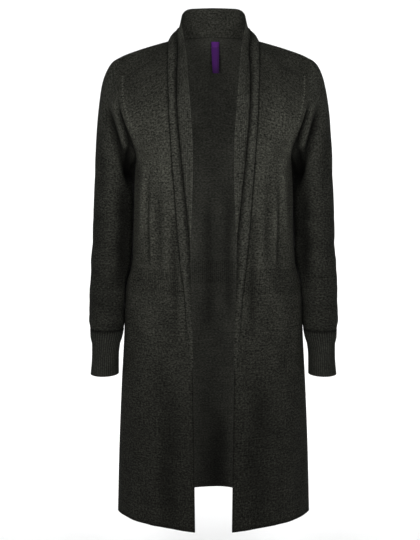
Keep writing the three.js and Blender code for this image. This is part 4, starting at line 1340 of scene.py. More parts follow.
    def tucked(self, grid: np.ndarray, line: SoftLine) -> np.ndarray:
        """How far the free cloth sinks where it comes out from under the roll, also used for the painted
        shade there.

        Args:
            grid: the collar's or lapel's points, from the seam to the free edge.
            line: how deep and wide the trough is.

        Returns:
            Millimetres for each point.
        """
        across = np.linalg.norm(grid - grid[:, :1], axis=2)
        reach = table_track(ROLL_FRONT, "at", "inner")(grid[:, :1, 2])
        below = smooth(grid[..., 2], *TUCKED_FADE) * smooth(across, 0, 2)
        return line.near(across - reach - TUCKED_PAST) * below

    def rolled_edge(self, grid: np.ndarray) -> np.ndarray:
        """Painted light along the free edge of the collar and lapel where it faces forwards, painted shade
        on the stand's top edge, and a painted highlight on the collar by the neck.

        Args:
            grid: the collar's or lapel's points, from the seam to the free edge.

        Returns:
            The height that each point's painted light and shade are worked out from.
        """
        rim = SoftLine(1.0, COLLAR_RIM_WIDTH).near(np.linalg.norm(grid - grid[:, -1:], axis=2))
        stand = smooth(grid[..., 2], *COLLAR_RIM_TURN)
        ahead = 1 - smooth(grid[..., 1], *NECK_STRIP_END)
        strip = NECK_STRIP * smooth(grid[..., 2], *NECK_STRIP_RISE) * ahead
        return rim * mix(COLLAR_RIM_LIGHT, COLLAR_RIM_DARK, stand) + strip

    def make_lapel(self) -> Cloth:
        """A lapel: rows from its foot to the chest seam, columns from the panel to its free edge.

        Returns:
            The cloth.
        """
        starts = self.front.places[self.foot : self.chest, -1]
        z, *edge = zip(*LAPEL_EDGE)
        x, y = (Track(z, values)(starts[:, 2]) for values in edge)
        ends = np.stack([x, y, starts[:, 2]], -1)
        t = np.linspace(0, 1, COLLAR_COLUMNS + 1)[None, :, None]
        rows = mix(starts[:, None], ends[:, None], t)
        sunk = self.tucked(rows, TUCKED)
        # Painted shade from twice the tuck's sinking, and the painted edge light.
        folds_and_painted_shade = np.concatenate([2 * sunk + self.rolled_edge(rows), self.collar.folds_and_painted_shade[:1]])
        rows = rows + grid_normals(rows) * sunk[..., None]
        return Cloth.of(np.concatenate([rows, self.collar.places[:1]]), 1, folds_and_painted_shade=folds_and_painted_shade)

    def side_reach(self, panel: Cloth, y: np.ndarray, z: float) -> np.ndarray:
        """How far out a panel reaches at depths y from the side seam, at a height z.

        Args:
            panel: the front or back.
            y: the depths.
            z: the height.

        Returns:
            A distance from the middle for each depth.
        """
        row = float(np.interp(z, self.heights, np.arange(len(self.heights))))
        i = min(int(row), len(self.heights) - 2)
        line = mix(panel.places[i], panel.places[i + 1], row - i)
        return np.interp(y, np.maximum.accumulate(np.abs(line[:, 1])), line[:, 0])

    def sleeve_ring(self, z: float) -> np.ndarray:
        """The sleeve's section at a height, held off the body's side.

        Args:
            z: the height.

        Returns:
            A point for each column.
        """
        angle = math.tau * np.arange(2 * UPPER_ROWS) / (2 * UPPER_ROWS)
        keys = ("outer", "inner", "depth", "y")
        outer, inner, depth, centre = (float(table_track(SLEEVE, "z", key)(z)) for key in keys)
        x = (outer + inner) / 2 - (outer - inner) / 2 * np.cos(angle)
        y = centre - depth * np.sin(angle)
        near = np.maximum(np.abs(y) - REST_MARGIN, 0)
        ahead, behind = (self.side_reach(panel, near, z) for panel in (self.front, self.back))
        rest = np.where(y < 0, ahead, behind) + SLEEVE_REST
        return np.stack([np.maximum(x, rest), y, np.full_like(x, z)], -1)

    def make_sleeve(self) -> Cloth:
        """A sleeve: rows from the armhole down to the cuff, columns round it from the underarm.

        Returns:
            The cloth.
        """
        columns = 2 * UPPER_ROWS
        rising = self.front.places[self.underarm :, 0]
        falling = self.back.places[self.underarm :, 0][::-1]
        armhole = np.concatenate([rising, falling[1:-1]])
        share = np.arange(columns) / columns
        rings = np.stack([self.sleeve_ring(z) for z in levels(SLEEVE)])
        arm = rings[0]
        length = np.linalg.norm(arm - armhole, axis=1)[:, None]
        cap = {key: table_track(CAP, "share", key)(share) for key in ("x", "y", "z", "reach")}
        leave = unit(np.stack([cap["x"], cap["y"], cap["z"]], -1)) * cap["reach"][:, None] * length
        arrive = np.array([0, 0, -CAP_LAND]) * length
        t = ((np.arange(CAP_ROWS) / CAP_ROWS) ** CAP_EASE)[:, None, None]
        grid = np.concatenate([hermite(armhole, leave, arm, arrive, t), rings])
        signed = grid * [self.side.value, 1, 1]
        ahead = smooth(np.sin(math.tau * share), -0.3, 0.3)
        tables = (SLEEVE_BACK_CREASES, SLEEVE_FRONT_CREASES)
        halves = (crease_height(table, signed[..., 0], signed[..., 2]) for table in tables)
        raised = mix(*halves, ahead) + waves(signed, SLEEVE_SEED, SLEEVE_WAVES)
        down = np.arange(len(grid))[:, None]
        up = down[::-1]
        fade = smooth(down, 0, SLEEVE_FADE_ROWS) * smooth(up, -1, SLEEVE_FADE_ROWS - 1)
        # Painted shade under the arm at the armhole and above the cuff; the creases' full height paints
        # shade and light even near the seams, where the cloth is not moved.
        under_arm = 1 - smooth(np.minimum(share, 1 - share), *UNDER_ARM)
        sewn = ARMHOLE_SHADE.near(down) * under_arm + WRIST_SHADE.near(up)
        return Cloth.of(grid, 1, raised * fade, closed=True, folds_and_painted_shade=raised + sewn)

    def roll_station(
        self, panel: np.ndarray, panel_normals: np.ndarray, free: Cloth | None, row: int, size: Roll
    ) -> np.ndarray:
        """One section of the collar roll, arched from the panel over the seam to the collar.

        Args:
            panel: the panel's points from the seam outwards.
            panel_normals: its normals there.
            free: the collar or lapel on the seam's other side, or none below the lapel's foot.
            row: the row of it at this place.
            size: the roll's reach and swell.

        Returns:
            A point for each column.
        """
        normal = unit(along_values(panel, panel_normals, size.outer))
        outer = along(panel, np.array(size.outer)) + normal * ROLL_LIFT
        if free is None:
            other = panel_normals[0]
            inner = panel[0] + unit(panel[0] - panel[1]) * size.inner + other * ROLL_LIFT
        else:
            line, normals = free.places[row], free.normals[row]
            other = unit(along_values(line, normals, size.inner))
            inner = along(line, np.array(size.inner)) + other * ROLL_LIFT
        t = np.linspace(0, 1, ROLL_COLUMNS + 1)[:, None]
        low = 1 - smooth(panel[0, 2], *ROLL_FULL)
        arch = np.sin(math.pi * t) ** (1 - 0.5 * low) * size.rise * (0.6 + 0.9 * low)
        return mix(outer, inner, t) + unit(normal + other) * arch

    def make_roll(self) -> Cloth:
        """The collar roll: rows from the hip to the centre of the back, columns across it.

        Returns:
            The cloth.
        """
        first = int(np.abs(self.heights - ROLL_FOOT_Z).argmin())
        fronts = [table_track(ROLL_FRONT, "at", key) for key in ("outer", "inner", "rise")]
        backs = [table_track(ROLL_BACK, "at", key) for key in ("outer", "inner", "rise")]
        rows = []
        for row in range(first, self.top + 1):
            panel, normals = self.front.places[row][::-1], self.front.normals[row][::-1]
            size = Roll(0, *(float(f(panel[0, 2])) for f in fronts))
            free, at = (None, 0) if row < self.foot else (self.lapel, row - self.foot)
            if row >= self.chest:
                free, at = self.collar, row - self.chest
            rows.append(self.roll_station(panel, normals, free, at, size))
        for column in range(SHOULDER_COLUMNS + 1, HALF_COLUMNS + 1):
            panel = self.back.places[:-ROLL_BACK_ROWS:-1, column]
            normals = self.back.normals[:-ROLL_BACK_ROWS:-1, column]
            size = Roll(0, *(float(f(panel[0, 0])) for f in backs))
            at = self.top - self.chest + column - SHOULDER_COLUMNS
            rows.append(self.roll_station(panel, normals, self.collar, at, size))
        t = np.linspace(0, 1, ROLL_COLUMNS + 1)[None, :]
        # Painted shade over the roll's inner half and along its outer edge, setting in above its foot.
        shade = ROLL_INNER_SHADE * smooth(t, 0.5, 1) + ROLL_OUTER_SHADE * smooth(1 - t, 0.88, 1)
        above_foot = smooth(np.arange(len(rows)), 0, ROLL_SHADE_ROWS)[:, None]
        return Cloth.of(np.stack(rows), 1, folds_and_painted_shade=-shade * above_foot)

    def sew_pieces(self) -> None:
        """Parts the pieces along every seam and gives their edges shared normals."""
        self.part_panels()
        chest = range(COLLAR_COLUMNS + 1)
        sew([([(self.lapel, -1, k)], [(self.collar, 0, k)]) for k in chest], self.collar.places[1].copy())
        self.sew_neck()
        self.sew_armhole()
        meet([(self.front, self.top, 0), (self.back, self.top, 0), (self.sleeve, 0, UPPER_ROWS)])
        meet([(self.lapel, -1, 0), (self.collar, 0, 0), (self.front, self.chest, HALF_COLUMNS)])
        self.set_ends()

    def part_panels(self) -> None:
        """Parts the front from the back along the side and the shoulder, where both face sideways."""
        sewn = ((self.front, -1, HALF_COLUMNS + 1), (self.back, 1, SHOULDER_COLUMNS + 1))
        for panel, towards, columns in sewn:
            for part in ((slice(0, self.underarm + 1), 0), (self.top, slice(0, columns))):
                panel.places[part + (1,)] += towards * SEAM / 2
                panel.normals[part + (1,)] = 0
                panel.normals[part] = unit(panel.normals[part])

    def sew_neck(self) -> None:
        """Sews the lapel and collar to the front's edge and on round the back of the neck."""
        front, back, lapel, collar = self.front, self.back, self.lapel, self.collar
        panels: list[list[Ref]] = [[(front, i, HALF_COLUMNS)] for i in range(self.foot, self.top + 1)]
        panels[-1].append((back, self.top, SHOULDER_COLUMNS))
        panels += [[(back, self.top, j)] for j in range(SHOULDER_COLUMNS + 1, HALF_COLUMNS + 1)]
        frees: list[list[Ref]] = [[(lapel, i, 0)] for i in range(len(lapel.places))]
        frees[-1].append((collar, 0, 0))
        frees += [[(collar, i, 0)] for i in range(1, len(collar.places))]
        sew(list(zip(panels, frees)), np.concatenate([lapel.places[:, 1], collar.places[1:, 1]]))

    def sew_armhole(self) -> None:
        """Sews the sleeve to the front and the back."""
        front, back, sleeve = self.front, self.back, self.sleeve
        holes: list[list[Ref]] = [[(front, self.underarm, 0), (back, self.underarm, 0)]]
        holes += [[(front, self.underarm + j, 0)] for j in range(1, UPPER_ROWS)]
        holes += [[(front, self.top, 0), (back, self.top, 0)]]
        holes += [[(back, self.top - j, 0)] for j in range(1, UPPER_ROWS)]
        stations = [(refs, [(sleeve, 0, j)]) for j, refs in enumerate(holes)]
        sew(stations, sleeve.places[1].copy(), closed=True)

    def set_ends(self) -> None:
        """Lays the pieces that cross the middle exactly on it, and squares the sleeve's end."""
        for cloth, part in ((self.back, (slice(None), -1)), (self.collar, (-1,)), (self.roll, (-1,))):
            cloth.places[part + (Ellipsis, 0)] = 0
            cloth.normals[part + (Ellipsis, 0)] = 0
            cloth.normals[part] = unit(cloth.normals[part])
        self.roll.places[-1, :, 0] = SEAM / 2
        self.sleeve.normals[-1, :, 2] = 0
        self.sleeve.normals[-1] = unit(self.sleeve.normals[-1])


def along_values(line: np.ndarray, values: np.ndarray, want: float) -> np.ndarray:
    """Values given at a line's points, read at a length along it."""
    far = lengths(line)
    return np.array([np.interp(want, far, values[:, k]) for k in range(values.shape[1])])


def sew(stations: list[tuple[list[Ref], list[Ref]]], into: np.ndarray, closed: bool = False) -> None:
    """Parts two pieces along a seam and gives their edges one shared normal.

    Args:
        stations: for each point of the seam, the points of one piece and of the other.
        into: points of the second piece next to the seam.
        closed: whether the seam is a ring.
    """
    line = np.stack([one[0][0].places[one[0][1:]] for one, _ in stations])
    both = np.stack([sum(c.normals[i, j] for c, i, j in (*one, *other)) for one, other in stations])
    normal, shift = part_seam(line, both, into, closed)
    for k, (one, other) in enumerate(stations):
        for refs, way in ((one, -1), (other, 1)):
            for cloth, i, j in refs:
                cloth.places[i, j] += way * shift[k]
                cloth.normals[i, j] = normal[k]


def meet(refs: list[Ref]) -> None:
    """Gives the points of several pieces that meet at a corner their mean normal.

    Args:
        refs: the pieces, each with its row and column there.
    """
    normal = unit(sum(cloth.normals[i, j] for cloth, i, j in refs))
    for cloth, i, j in refs:
        cloth.normals[i, j] = normal


def joined(left: Cloth, right: Cloth, axis: int) -> Cloth:
    """Two halves that share their last row or column on the middle line, as one piece.

    Args:
        left: the half on the wearer's left.
        right: the other half, as worked out at +X.
        axis: 0 if they share a row, or 1 for a column.

    Returns:
        The cloth.
    """
    other = right.flipped()
    keep = [slice(None), slice(None)]
    keep[axis] = slice(-2, None, -1)
    far = tuple(keep)
    if axis == 1:
        uv = np.concatenate([left.uv, right.uv[far] * [-1, 1]], 1)
    else:
        turned = 2 * left.uv[-1:, :, 1:] - right.uv[far][..., 1:]
        uv = np.concatenate([left.uv, np.concatenate([right.uv[far][..., :1], turned], -1)], 0)
    places = np.concatenate([left.places, other.places[far]], axis)
    normals = np.concatenate([left.normals, other.normals[far]], axis)
    return Cloth(places, normals, uv, np.concatenate([left.folds_and_painted_shade, other.folds_and_painted_shade[far]], axis))


@dataclass(frozen=True)
class Cut:
    """The flat cut of a piece: its width, length and area in metres, and how it is held."""

    width: float
    length: float
    area: float
    held: Hold = Hold.HUNG


BACK_CUT = Cut(0.56, 0.94, 0.404)
COLLAR_CUT = Cut(0.5, 0.065, 0.021)
FRONT_CUT = Cut(0.23, 0.92, 0.15)
SLEEVE_CUT = Cut(0.33, 0.5, 0.122)
CUFF_CUT = Cut(0.16, 0.088, 0.0139, Hold.GATHERED)
LAPEL_CUT = Cut(0.035, 0.33, 0.0075)
ROLL_CUT = Cut(0.04, 0.8, 0.0155, Hold.FOLDED)
LABEL_CUT = Cut(0.017, 0.061, 0.00103)
TAB_CUT = Cut(0.016, 0.0131, 0.0002)


@dataclass
class Panel:
    """One cut piece of knitted cloth.

    Attributes:
        name: the piece's name in the scene.
        node: the solid that it takes the place of.
        slot: its material slot; not used.
        cut: its flat cut; not used.
        rests_on: the pieces that it hangs from; not used.
        thick: the cloth's thickness in millimetres.
    """

    name: str
    node: str
    slot: str
    cut: Cut
    rests_on: tuple[str, ...] = ()
    thick: float = WALL

    def build(self, cloth: Cloth, material: bpy.types.Material) -> bpy.types.Object:
        """Args:
            cloth: its grid of points.
            material: its finish.

        Returns:
            The piece.
        """
        mesh = build_mesh(self.name, cloth, self.thick)
        piece = add_object(mesh, material)
        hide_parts(self.node)
        LOG.info("%s: %.4f square metres, %d faces", self.name, cloth.area(), len(mesh.polygons))
        return piece


@dataclass
class Cuff:
    """A ribbed tube at a sleeve's end.

    Attributes:
        rib_rise: how far the ribs stand out, in millimetres.
        points_per_rib: columns of the grid for each rib.
        rows_per_step: rows of the grid for each step of the table.
        wander: how far the ribs stray round the wrist, in radians.
        wander_length: the height over which they stray, in millimetres.
        shade: how much painted light a rib's top gets and painted shade its grooves get, as a crease height.
        shade_level: the share of a rib's rise that gets neither painted light nor shade.
    """

    rib_rise: float = 0.9
    points_per_rib: int = 10
    rows_per_step: int = 6
    wander: float = 0.05
    wander_length: float = 31.0
    shade: float = 9.0
    shade_level: float = 0.78

    def cloth(self) -> Cloth:
        """The cuff of the wearer's left sleeve, with its ribs raised outwards.

        Returns:
            The cloth.
        """
        heights = levels(CUFF, self.rows_per_step)
        keys = ("outer", "inner", "depth", "y")
        outer, inner, depth, centre = (table_track(CUFF, "z", key)(heights)[:, None] for key in keys)
        count = CUFF_RIBS * self.points_per_rib
        angle = math.tau * np.arange(count)[None, :] / count
        lean = self.wander * np.sin(heights / self.wander_length)[:, None]
        rib = (0.5 + 0.5 * np.cos((angle + lean) * CUFF_RIBS)) ** 0.8
        rise = rib * self.rib_rise * (0.85 + 0.15 * np.sin(angle * 3 + 1))
        x = (outer + inner) / 2 - ((outer - inner) / 2 + rise) * np.cos(angle)
        y = centre - (depth + rise) * np.sin(angle)
        grid = np.stack([x, y, np.repeat(heights[:, None], count, 1)], -1)
        # Painted light on the ribs' tops, painted shade in their grooves and just below the sleeve.
        folds_and_painted_shade = self.shade * (rib - self.shade_level) + CUFF_TOP_SHADE.near(np.arange(len(heights)))[:, None]
        return Cloth.of(grid, 1, closed=True, folds_and_painted_shade=folds_and_painted_shade)


@dataclass
class Label:
    """The ribbon label that hangs inside the back of the neck, and the tab sewn over its top.

    Attributes:
        x: how far its top lies from the garment's middle.
        half_width: half its width at the top.
        taper: share of its width that it loses to its foot, as it turns away.
        drift: how much further to the side its foot hangs.
        sway: how far it sways forwards and back on its way down.
        curl: how far its edges come forward at the foot.
        tab_half_width: half the tab's width.
        tab_gap: how far the tab lies in front of the label.
        tab_curl: how far the tab's edges come forward.
        thick: the ribbon's thickness.
        rows: steps down the ribbon.
        columns: steps across it.
    """

    x: float = 3.5
    half_width: float = 8.2
    taper: float = 0.2
    drift: float = 1.4
    sway: float = 0.25
    curl: float = 1.2
    tab_half_width: float = 8.0
    tab_gap: float = 1.3
    tab_curl: float = 0.2
    thick: float = 0.9
    rows: int = 16
    columns: int = 8

    def strip(
        self, line: Sequence[Sequence[float]], half_width: float, ahead: float, curl: float
    ) -> Cloth:
        """A hung ribbon along a line in the middle plane, slightly curled across.

        Args:
            line: its depths and heights.
            half_width: half its width.
            ahead: how far it lies in front of the line.
            curl: how far its edges come forward at the foot.

        Returns:
            The cloth.
        """
        points = Curve([(0, y, z) for y, z in line]).spaced(self.rows)[:, None]
        t = np.linspace(-1, 1, self.columns + 1)[None, :]
        drop = np.linspace(0, 1, self.rows + 1)[:, None]
        x = self.x + t * half_width * (1 - self.taper * drop) + self.drift * drop * drop
        y = points[..., 1] - ahead - curl * drop * t * t - self.sway * np.sin(drop * 5) * drop
        # Painted shade on the ribbon's front face at its one side, its other edge and its foot, for its
        # curl; its back face gets painted light there.
        painted_side_shade = 5 * smooth(t, 0.2, 1) * mix(0.4, 1, drop)
        folds_and_painted_shade = painted_side_shade + 1.5 * smooth(-t, 0.6, 1) + 3 * smooth(drop, 0.7, 1)
        return Cloth.of(np.stack([x, y, points[..., 2] + 0 * t], -1), -1, folds_and_painted_shade=folds_and_painted_shade)


def stitch_tree() -> bpy.types.NodeTree:
    """A geometry node tree that lays small yarn stitches along edges, leaning to each side in turn.

    Returns:
        The tree.
    """
    tree = bpy.data.node_groups.new("StitchesAlongSeam", "GeometryNodeTree")
    tree.is_modifier = True
    sockets = {"Geometry": "Geometry", "Pitch": "Float", "Size": "Vector", "Slant": "Float",
               "Spread": "Float", "Seed": "Int", "Yarn": "Material"}
    for name, kind in sockets.items():
        tree.interface.new_socket(name, in_out="INPUT", socket_type="NodeSocket" + kind)
    tree.interface.new_socket("Geometry", in_out="OUTPUT", socket_type="NodeSocketGeometry")
    n = Nodes(tree)
    given, out = n.add("NodeGroupInput"), n.add("NodeGroupOutput")
    curve = n.add("GeometryNodeMeshToCurve", {"Mesh": given.outputs["Geometry"]})
    spacing = {"Curve": curve.outputs[0], "Length": given.outputs["Pitch"]}
    dots = n.add("GeometryNodeCurveToPoints", spacing, mode="LENGTH")
    up = n.add("GeometryNodeInputNamedAttribute", {"Name": "up"}, data_type="FLOAT_VECTOR")
    ahead = n.add("FunctionNodeAlignRotationToVector", {"Vector": dots.outputs["Tangent"]}, axis="X")
    turned = n.add(
        "FunctionNodeAlignRotationToVector",
        {"Rotation": ahead.outputs[0], "Vector": up.outputs["Attribute"]},
        axis="Z",
        pivot_axis="X",
    )
    index = n.add("GeometryNodeInputIndex").outputs[0]
    odd = n.math("SUBTRACT", n.math("MULTIPLY", n.math("MODULO", index, 2.0), 2.0), 1.0)
    span = {2: -0.12, 3: 0.12, "Seed": given.outputs["Seed"]}
    loose = n.add("FunctionNodeRandomValue", span, data_type="FLOAT")
    angle = n.math("ADD", n.math("MULTIPLY", odd, given.outputs["Slant"]), loose.outputs[1])
    lean = n.add("FunctionNodeEulerToRotation", {0: n.add("ShaderNodeCombineXYZ", {"Z": angle}).outputs[0]})
    rotation = n.add(
        "FunctionNodeRotateRotation", {0: turned.outputs[0], 1: lean.outputs[0]}, rotation_space="LOCAL"
    )
    ball = n.add("GeometryNodeMeshUVSphere", {"Segments": 7, "Rings": 5, "Radius": 0.5})
    soft = n.add("GeometryNodeSetShadeSmooth", {0: ball.outputs["Mesh"]})
    laid = n.add(
        "GeometryNodeInstanceOnPoints",
        {
            "Points": dots.outputs["Points"],
            "Instance": soft.outputs[0],
            "Rotation": rotation.outputs[0],
            "Scale": given.outputs["Size"],
        },
    )
    aside = n.add("ShaderNodeCombineXYZ", {"Y": n.math("MULTIPLY", odd, given.outputs["Spread"])})
    moved = n.add("GeometryNodeTranslateInstances", {0: laid.outputs[0], "Translation": aside.outputs[0]})
    real = n.add("GeometryNodeRealizeInstances", {0: moved.outputs[0]})
    named = n.add("GeometryNodeSetMaterial", {0: real.outputs[0], "Material": given.outputs["Yarn"]})
    tree.links.new(named.outputs[0], out.inputs[0])
    return tree


@dataclass(frozen=True)
class Stitching:
    """A row of stitches: spacing and size in metres, how they lean and spread, and their painted light, a
    factor that lightens above 1 and shades below 1.
    """

    pitch: float
    size: tuple[float, float, float]
    slant: float
    spread: float
    seed: int = 5
    light: float = 0.85


# Each row of stitches has its own painted light: a little darker at the linking seams, much darker at the
# cuff, much lighter at the fashioning marks.
LINKING = Stitching(0.0026, (0.0030, 0.0011, 0.0009), 0.5, 0.0006)
CUFF_LINKING = replace(LINKING, seed=6, light=0.3)
FASHIONING = Stitching(0.0062, (0.0056, 0.0022, 0.0018), 0.9, 0.0, seed=8, light=2.4)
FASHIONING_ROWS = (22, 44)  # rows up from the underarm between which the marks run
FASHIONING_COLUMN = 4
STITCH_LIFT = 0.1  # how far the middle of a stitch stands off the cloth's skin


@dataclass
class SeamLine:
    """Points along a seam and the outward direction at each, in millimetres."""

    points: np.ndarray
    up: np.ndarray
    closed: bool = False

    def flipped(self) -> "SeamLine":
        """The same seam on the other side of the garment."""
        turn = np.array([-1, 1, 1])
        return SeamLine(self.points * turn, self.up * turn, self.closed)

    def lifted(self, height: float) -> "SeamLine":
        """The seam raised off the middle of its cloth."""
        return SeamLine(self.points + self.up * height, self.up, self.closed)


@dataclass
class Stitches:
    """Stitches laid along seams by geometry nodes and then baked."""

    name: str
    look: Stitching
    slot: str

    def guide(self, lines: Sequence[SeamLine]) -> bpy.types.Mesh:
        """The seams as loose edges that know which way is outwards.

        Args:
            lines: the seams.

        Returns:
            The mesh in metres.
        """
        edges, start = [], 0
        for line in lines:
            count = len(line.points)
            edges += [(start + k, start + k + 1) for k in range(count - 1)]
            if line.closed:
                edges.append((start + count - 1, start))
            start += count
        mesh = bpy.data.meshes.new(self.name + "_guide")
        mesh.from_pydata((np.concatenate([line.points for line in lines]) * MM).tolist(), edges, [])
        ups = np.concatenate([line.up for line in lines]).astype(np.float32)
        mesh.attributes.new("up", "FLOAT_VECTOR", "POINT").data.foreach_set("vector", ups.ravel())
        return mesh

    def build(
        self, lines: Sequence[SeamLine], tree: bpy.types.NodeTree, material: bpy.types.Material
    ) -> bpy.types.Object:
        """Lays the stitches and bakes them.

        Args:
            lines: the seams.
            tree: the node tree that lays them.
            material: the yarn's finish.

        Returns:
            The piece.
        """
        holder = bpy.data.objects.new(self.name + "_guide", self.guide(lines))
        bpy.context.scene.collection.objects.link(holder)
        modifier = holder.modifiers.new("stitches", "NODES")
        modifier.node_group = tree
        values = {"Pitch": self.look.pitch, "Size": self.look.size, "Slant": self.look.slant,
                  "Spread": self.look.spread, "Seed": self.look.seed, "Yarn": material}
        for socket in tree.interface.items_tree:
            if socket.in_out == "INPUT" and socket.name in values:
                modifier[socket.identifier] = values[socket.name]
        graph = bpy.context.evaluated_depsgraph_get()
        baked = bpy.data.meshes.new_from_object(holder.evaluated_get(graph))
        bpy.data.objects.remove(holder)
        baked.name = self.name
        # One painted light factor for all the stitches' points.
        save_light(baked, np.full(len(baked.vertices), self.look.light))
        piece = add_object(baked, material)
        LOG.info("%s: %d faces", self.name, len(baked.polygons))
        return piece


@dataclass
class Cardigan:
    """The whole garment, dressed."""

    groups: PatternGroups
    cuff: Cuff = field(default_factory=Cuff)
    label: Label = field(default_factory=Label)

    def build(self) -> None:
        """Works out both halves and builds every piece."""
        halves = {side: Half(side) for side in Side}
        left, right = halves[Side.LEFT], halves[Side.RIGHT]
        yarns = (BODY_YARN, BACK_YARN, SLEEVE_YARN_PAINTED_DARKER, CUFF_YARN, COLLAR_YARN, LAPEL_YARN, ROLL_YARN)
        body, hind, sleeve, rib, collar, lapel, roll = (yarn.material(self.groups) for yarn in yarns)
        Panel("back_panel", "back", "knit", BACK_CUT).build(joined(left.back, right.back, 1), hind)
        stand = joined(left.collar, right.collar, 0)
        stand.uv = stand.uv[..., ::-1]
        Panel("collar_stand", "collar", "collar_knit", COLLAR_CUT, ("back_panel",)).build(stand, collar)
        for side, half in halves.items():
            end = side.name.lower()
            front, tube = f"front_panel_{end}", f"sleeve_tube_{end}"
            pieces = (
                (front, f"front_{end}", "knit", FRONT_CUT, "back_panel", half.front, body),
                (tube, f"sleeve_{end}", "knit", SLEEVE_CUT, front, half.sleeve, sleeve),
                (f"cuff_rib_{end}", f"cuff_{end}", "rib", CUFF_CUT, tube, self.cuff.cloth(), rib),
                (f"lapel_strip_{end}", f"lapel_{end}", "collar_knit", LAPEL_CUT, front, half.lapel, lapel),
                (f"roll_{end}", f"collar_roll_{end}", "roll_knit", ROLL_CUT, front, half.roll, roll),
            )
            for name, node, slot, cut, holder, cloth, finish in pieces:
                piece = Panel(name, node, slot, cut, (holder,))
                piece.build(cloth if side is Side.LEFT else cloth.flipped(), finish)
        self.add_label()
        self.add_stitches(halves, body, rib)

    def add_label(self) -> None:
        """Builds the label and its tab."""
        label = self.label
        ribbon = label.strip(LABEL_LINE, label.half_width, 0, label.curl)
        flap = label.strip(LABEL_LINE[:3], label.tab_half_width, label.tab_gap, label.tab_curl)
        hung = Panel("label_ribbon", "neck_label", "label", LABEL_CUT, ("back_panel",), label.thick)
        hung.build(ribbon, LABEL_RIBBON.material())
        over = Panel("tab_ribbon", "size_tab", "tab", TAB_CUT, ("label_ribbon",), label.thick)
        over.build(flap, TAB_RIBBON.material())

    def add_stitches(
        self, halves: dict[Side, Half], body: bpy.types.Material, rib: bpy.types.Material
    ) -> None:
        """Lays the linking stitches along the seams and the fashioning marks near the armholes.

        Args:
            halves: both halves' cloth.
            body: the finish of the fronts.
            rib: the finish of the cuffs.
        """
        tree = stitch_tree()
        seams, marks, wrists = [], [], []
        for side, half in halves.items():
            lines = self.seam_lines(half)
            own, mark, wrist = (line if side is Side.LEFT else [k.flipped() for k in line] for line in lines)
            seams += own
            marks += mark
            wrists += wrist
        Stitches("seam_linking", LINKING, "knit").build(seams, tree, body)
        Stitches("fashioning_marks", FASHIONING, "knit").build(marks, tree, body)
        Stitches("cuff_linking", CUFF_LINKING, "rib").build(wrists, tree, rib)

    def seam_lines(self, half: Half) -> tuple[list[SeamLine], list[SeamLine], list[SeamLine]]:
        """The lines of a half that stitches follow.

        Args:
            half: the half's cloth.

        Returns:
            The seams of the body, the lines of fashioning marks, and the seam of the cuff.
        """
        front, sleeve, collar = half.front, half.sleeve, half.collar
        below, top = slice(half.underarm + 1), half.top
        side = SeamLine(front.places[below, 0], front.normals[below, 0])
        shoulder = SeamLine(front.places[top], front.normals[top])
        hole = SeamLine(sleeve.places[0], sleeve.normals[0], True)
        chest = SeamLine(collar.places[0], collar.normals[0])
        wrist = SeamLine(sleeve.places[-1], sleeve.normals[-1], True)
        marked = slice(*(half.underarm + row for row in FASHIONING_ROWS)), FASHIONING_COLUMN
        mark = SeamLine(front.places[marked], front.normals[marked])
        skin = WALL / 2 + STITCH_LIFT
        seams = [seam.lifted(skin) for seam in (side, shoulder, hole, chest)]
        return seams, [mark.lifted(WALL / 2)], [wrist.lifted(skin)]


@dataclass(frozen=True)
class Lamp:
    """A soft light: its place, the point it faces, its width and height in metres, and its power."""

    name: str
    place: tuple[float, float, float]
    at: tuple[float, float, float]
    width: float
    height: float
    power: float

    def build(self) -> None:
        """Puts the light in the scene, unseen by the camera."""
        lamp = bpy.data.lights.new(self.name, "AREA")
        lamp.shape = "RECTANGLE"
        lamp.size, lamp.size_y = self.width, self.height
        lamp.energy = self.power
        light = bpy.data.objects.new(self.name, lamp)
        light.visible_camera = False
        light.location = self.place
        x, y, z = np.subtract(self.at, self.place)
        light.rotation_euler = (math.atan2(math.hypot(x, y), -z), 0, math.atan2(-x, y))
        bpy.context.scene.collection.objects.link(light)


LAMPS = (
    Lamp("key", (-0.35, -1.05, -0.2), (0, 0, -0.3), 0.35, 0.35, 5.6),
    Lamp("fill", (0.38, -1.05, -0.2), (0, 0, -0.3), 0.35, 0.35, 4.8),
    Lamp("floor", (0, 0.95, 0.2), (0, 0.95, -1), 1.0, 1.0, 7.0),
    Lamp("sweep_left", (1.35, 0.7, 0.3), (0.5, 2.6, -0.4), 1.2, 1.2, 30.0),
    Lamp("sweep_right", (-1.35, 0.7, 0.3), (-0.5, 2.6, -0.4), 1.2, 1.2, 30.0),
    Lamp("inner", (0, -0.06, -0.5), (0, 1, -0.5), 0.1, 0.75, 0.45),
)


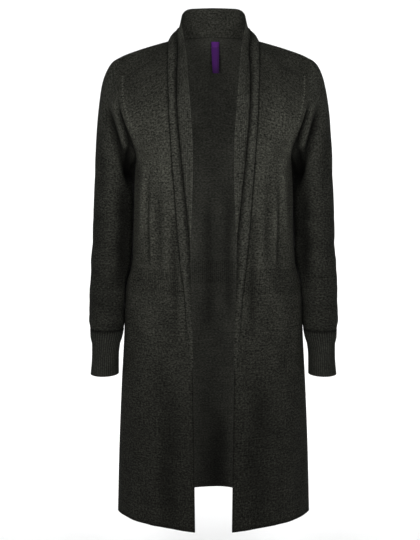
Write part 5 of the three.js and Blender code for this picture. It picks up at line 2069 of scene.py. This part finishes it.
@dataclass
class Studio:
    """A pale sweep of paper under soft light, and the camera. Lengths are in metres.

    Attributes:
        floor: the height of the paper's flat part.
        half_width: half its width.
        near: how far in front it starts.
        behind: how far behind it rises.
        bend: the radius of its curve.
        rise: how far up it goes.
        paper: how white it is.
        sky: the colour of the light from all round.
        sky_power: its strength.
        eye: the camera's place.
        down: how many degrees down the camera looks.
        lens: its focal length in millimetres.
        film: the width of its film in millimetres.
        shift: how far the picture is moved sideways, as a share of its width.
    """

    floor: float = -1.12
    half_width: float = 3.0
    near: float = -4.0
    behind: float = 2.6
    bend: float = 1.2
    rise: float = 5.0
    paper: float = 0.9
    sky: tuple[float, float, float] = (0.97, 0.985, 1.0)
    sky_power: float = 0.25
    eye: tuple[float, float, float] = (0, -1.7, -0.28275)
    down: float = 5.569
    lens: float = 58.4
    film: float = 36.0
    shift: float = -0.0065

    def build(self) -> None:
        """Builds the paper, the lights and the camera."""
        self.add_paper()
        for lamp in LAMPS:
            lamp.build()
        world = bpy.data.worlds.new("Studio")
        world.use_nodes = True
        background = world.node_tree.nodes["Background"]
        background.inputs["Color"].default_value = (*self.sky, 1)
        background.inputs["Strength"].default_value = self.sky_power
        bpy.context.scene.world = world
        bpy.context.scene.view_settings.view_transform = "Standard"
        self.add_camera()

    def add_paper(self) -> None:
        """A floor that curves up into a backdrop."""
        turn = np.linspace(0, math.pi / 2, 13)
        y = np.concatenate([[self.near], self.behind - self.bend + self.bend * np.sin(turn), [self.behind]])
        z = np.concatenate([[0.0], self.bend - self.bend * np.cos(turn), [self.rise]]) + self.floor
        points = [(side * self.half_width, float(a), float(b)) for a, b in zip(y, z) for side in (-1, 1)]
        faces = [(2 * k, 2 * k + 1, 2 * k + 3, 2 * k + 2) for k in range(len(y) - 1)]
        mesh = bpy.data.meshes.new("paper")
        mesh.from_pydata(points, [], faces)
        mesh.polygons.foreach_set("use_smooth", [True] * len(mesh.polygons))
        material = bpy.data.materials.new("Paper")
        material.use_nodes = True
        shader = material.node_tree.nodes["Principled BSDF"]
        shader.inputs["Base Color"].default_value = (self.paper, self.paper, self.paper, 1)
        shader.inputs["Roughness"].default_value = 0.9
        mesh.materials.append(material)
        paper = bpy.data.objects.new("paper", mesh)
        bpy.context.scene.collection.objects.link(paper)

    def add_camera(self) -> None:
        """A camera at chest height that looks slightly down."""
        camera = bpy.data.cameras.new("camera")
        camera.lens = self.lens
        camera.sensor_width = self.film
        camera.shift_x = self.shift
        eye = bpy.data.objects.new("camera", camera)
        eye.location = self.eye
        eye.rotation_euler = (math.radians(90 - self.down), 0, 0)
        bpy.context.scene.collection.objects.link(eye)
        bpy.context.scene.camera = eye


def main() -> None:
    """Builds the garment and the studio."""
    logging.basicConfig(level=logging.INFO, format="%(message)s")
    Studio().build()
    Cardigan(PatternGroups.create()).build()
    bpy.context.view_layer.update()


if __name__ == "__main__":
    main()
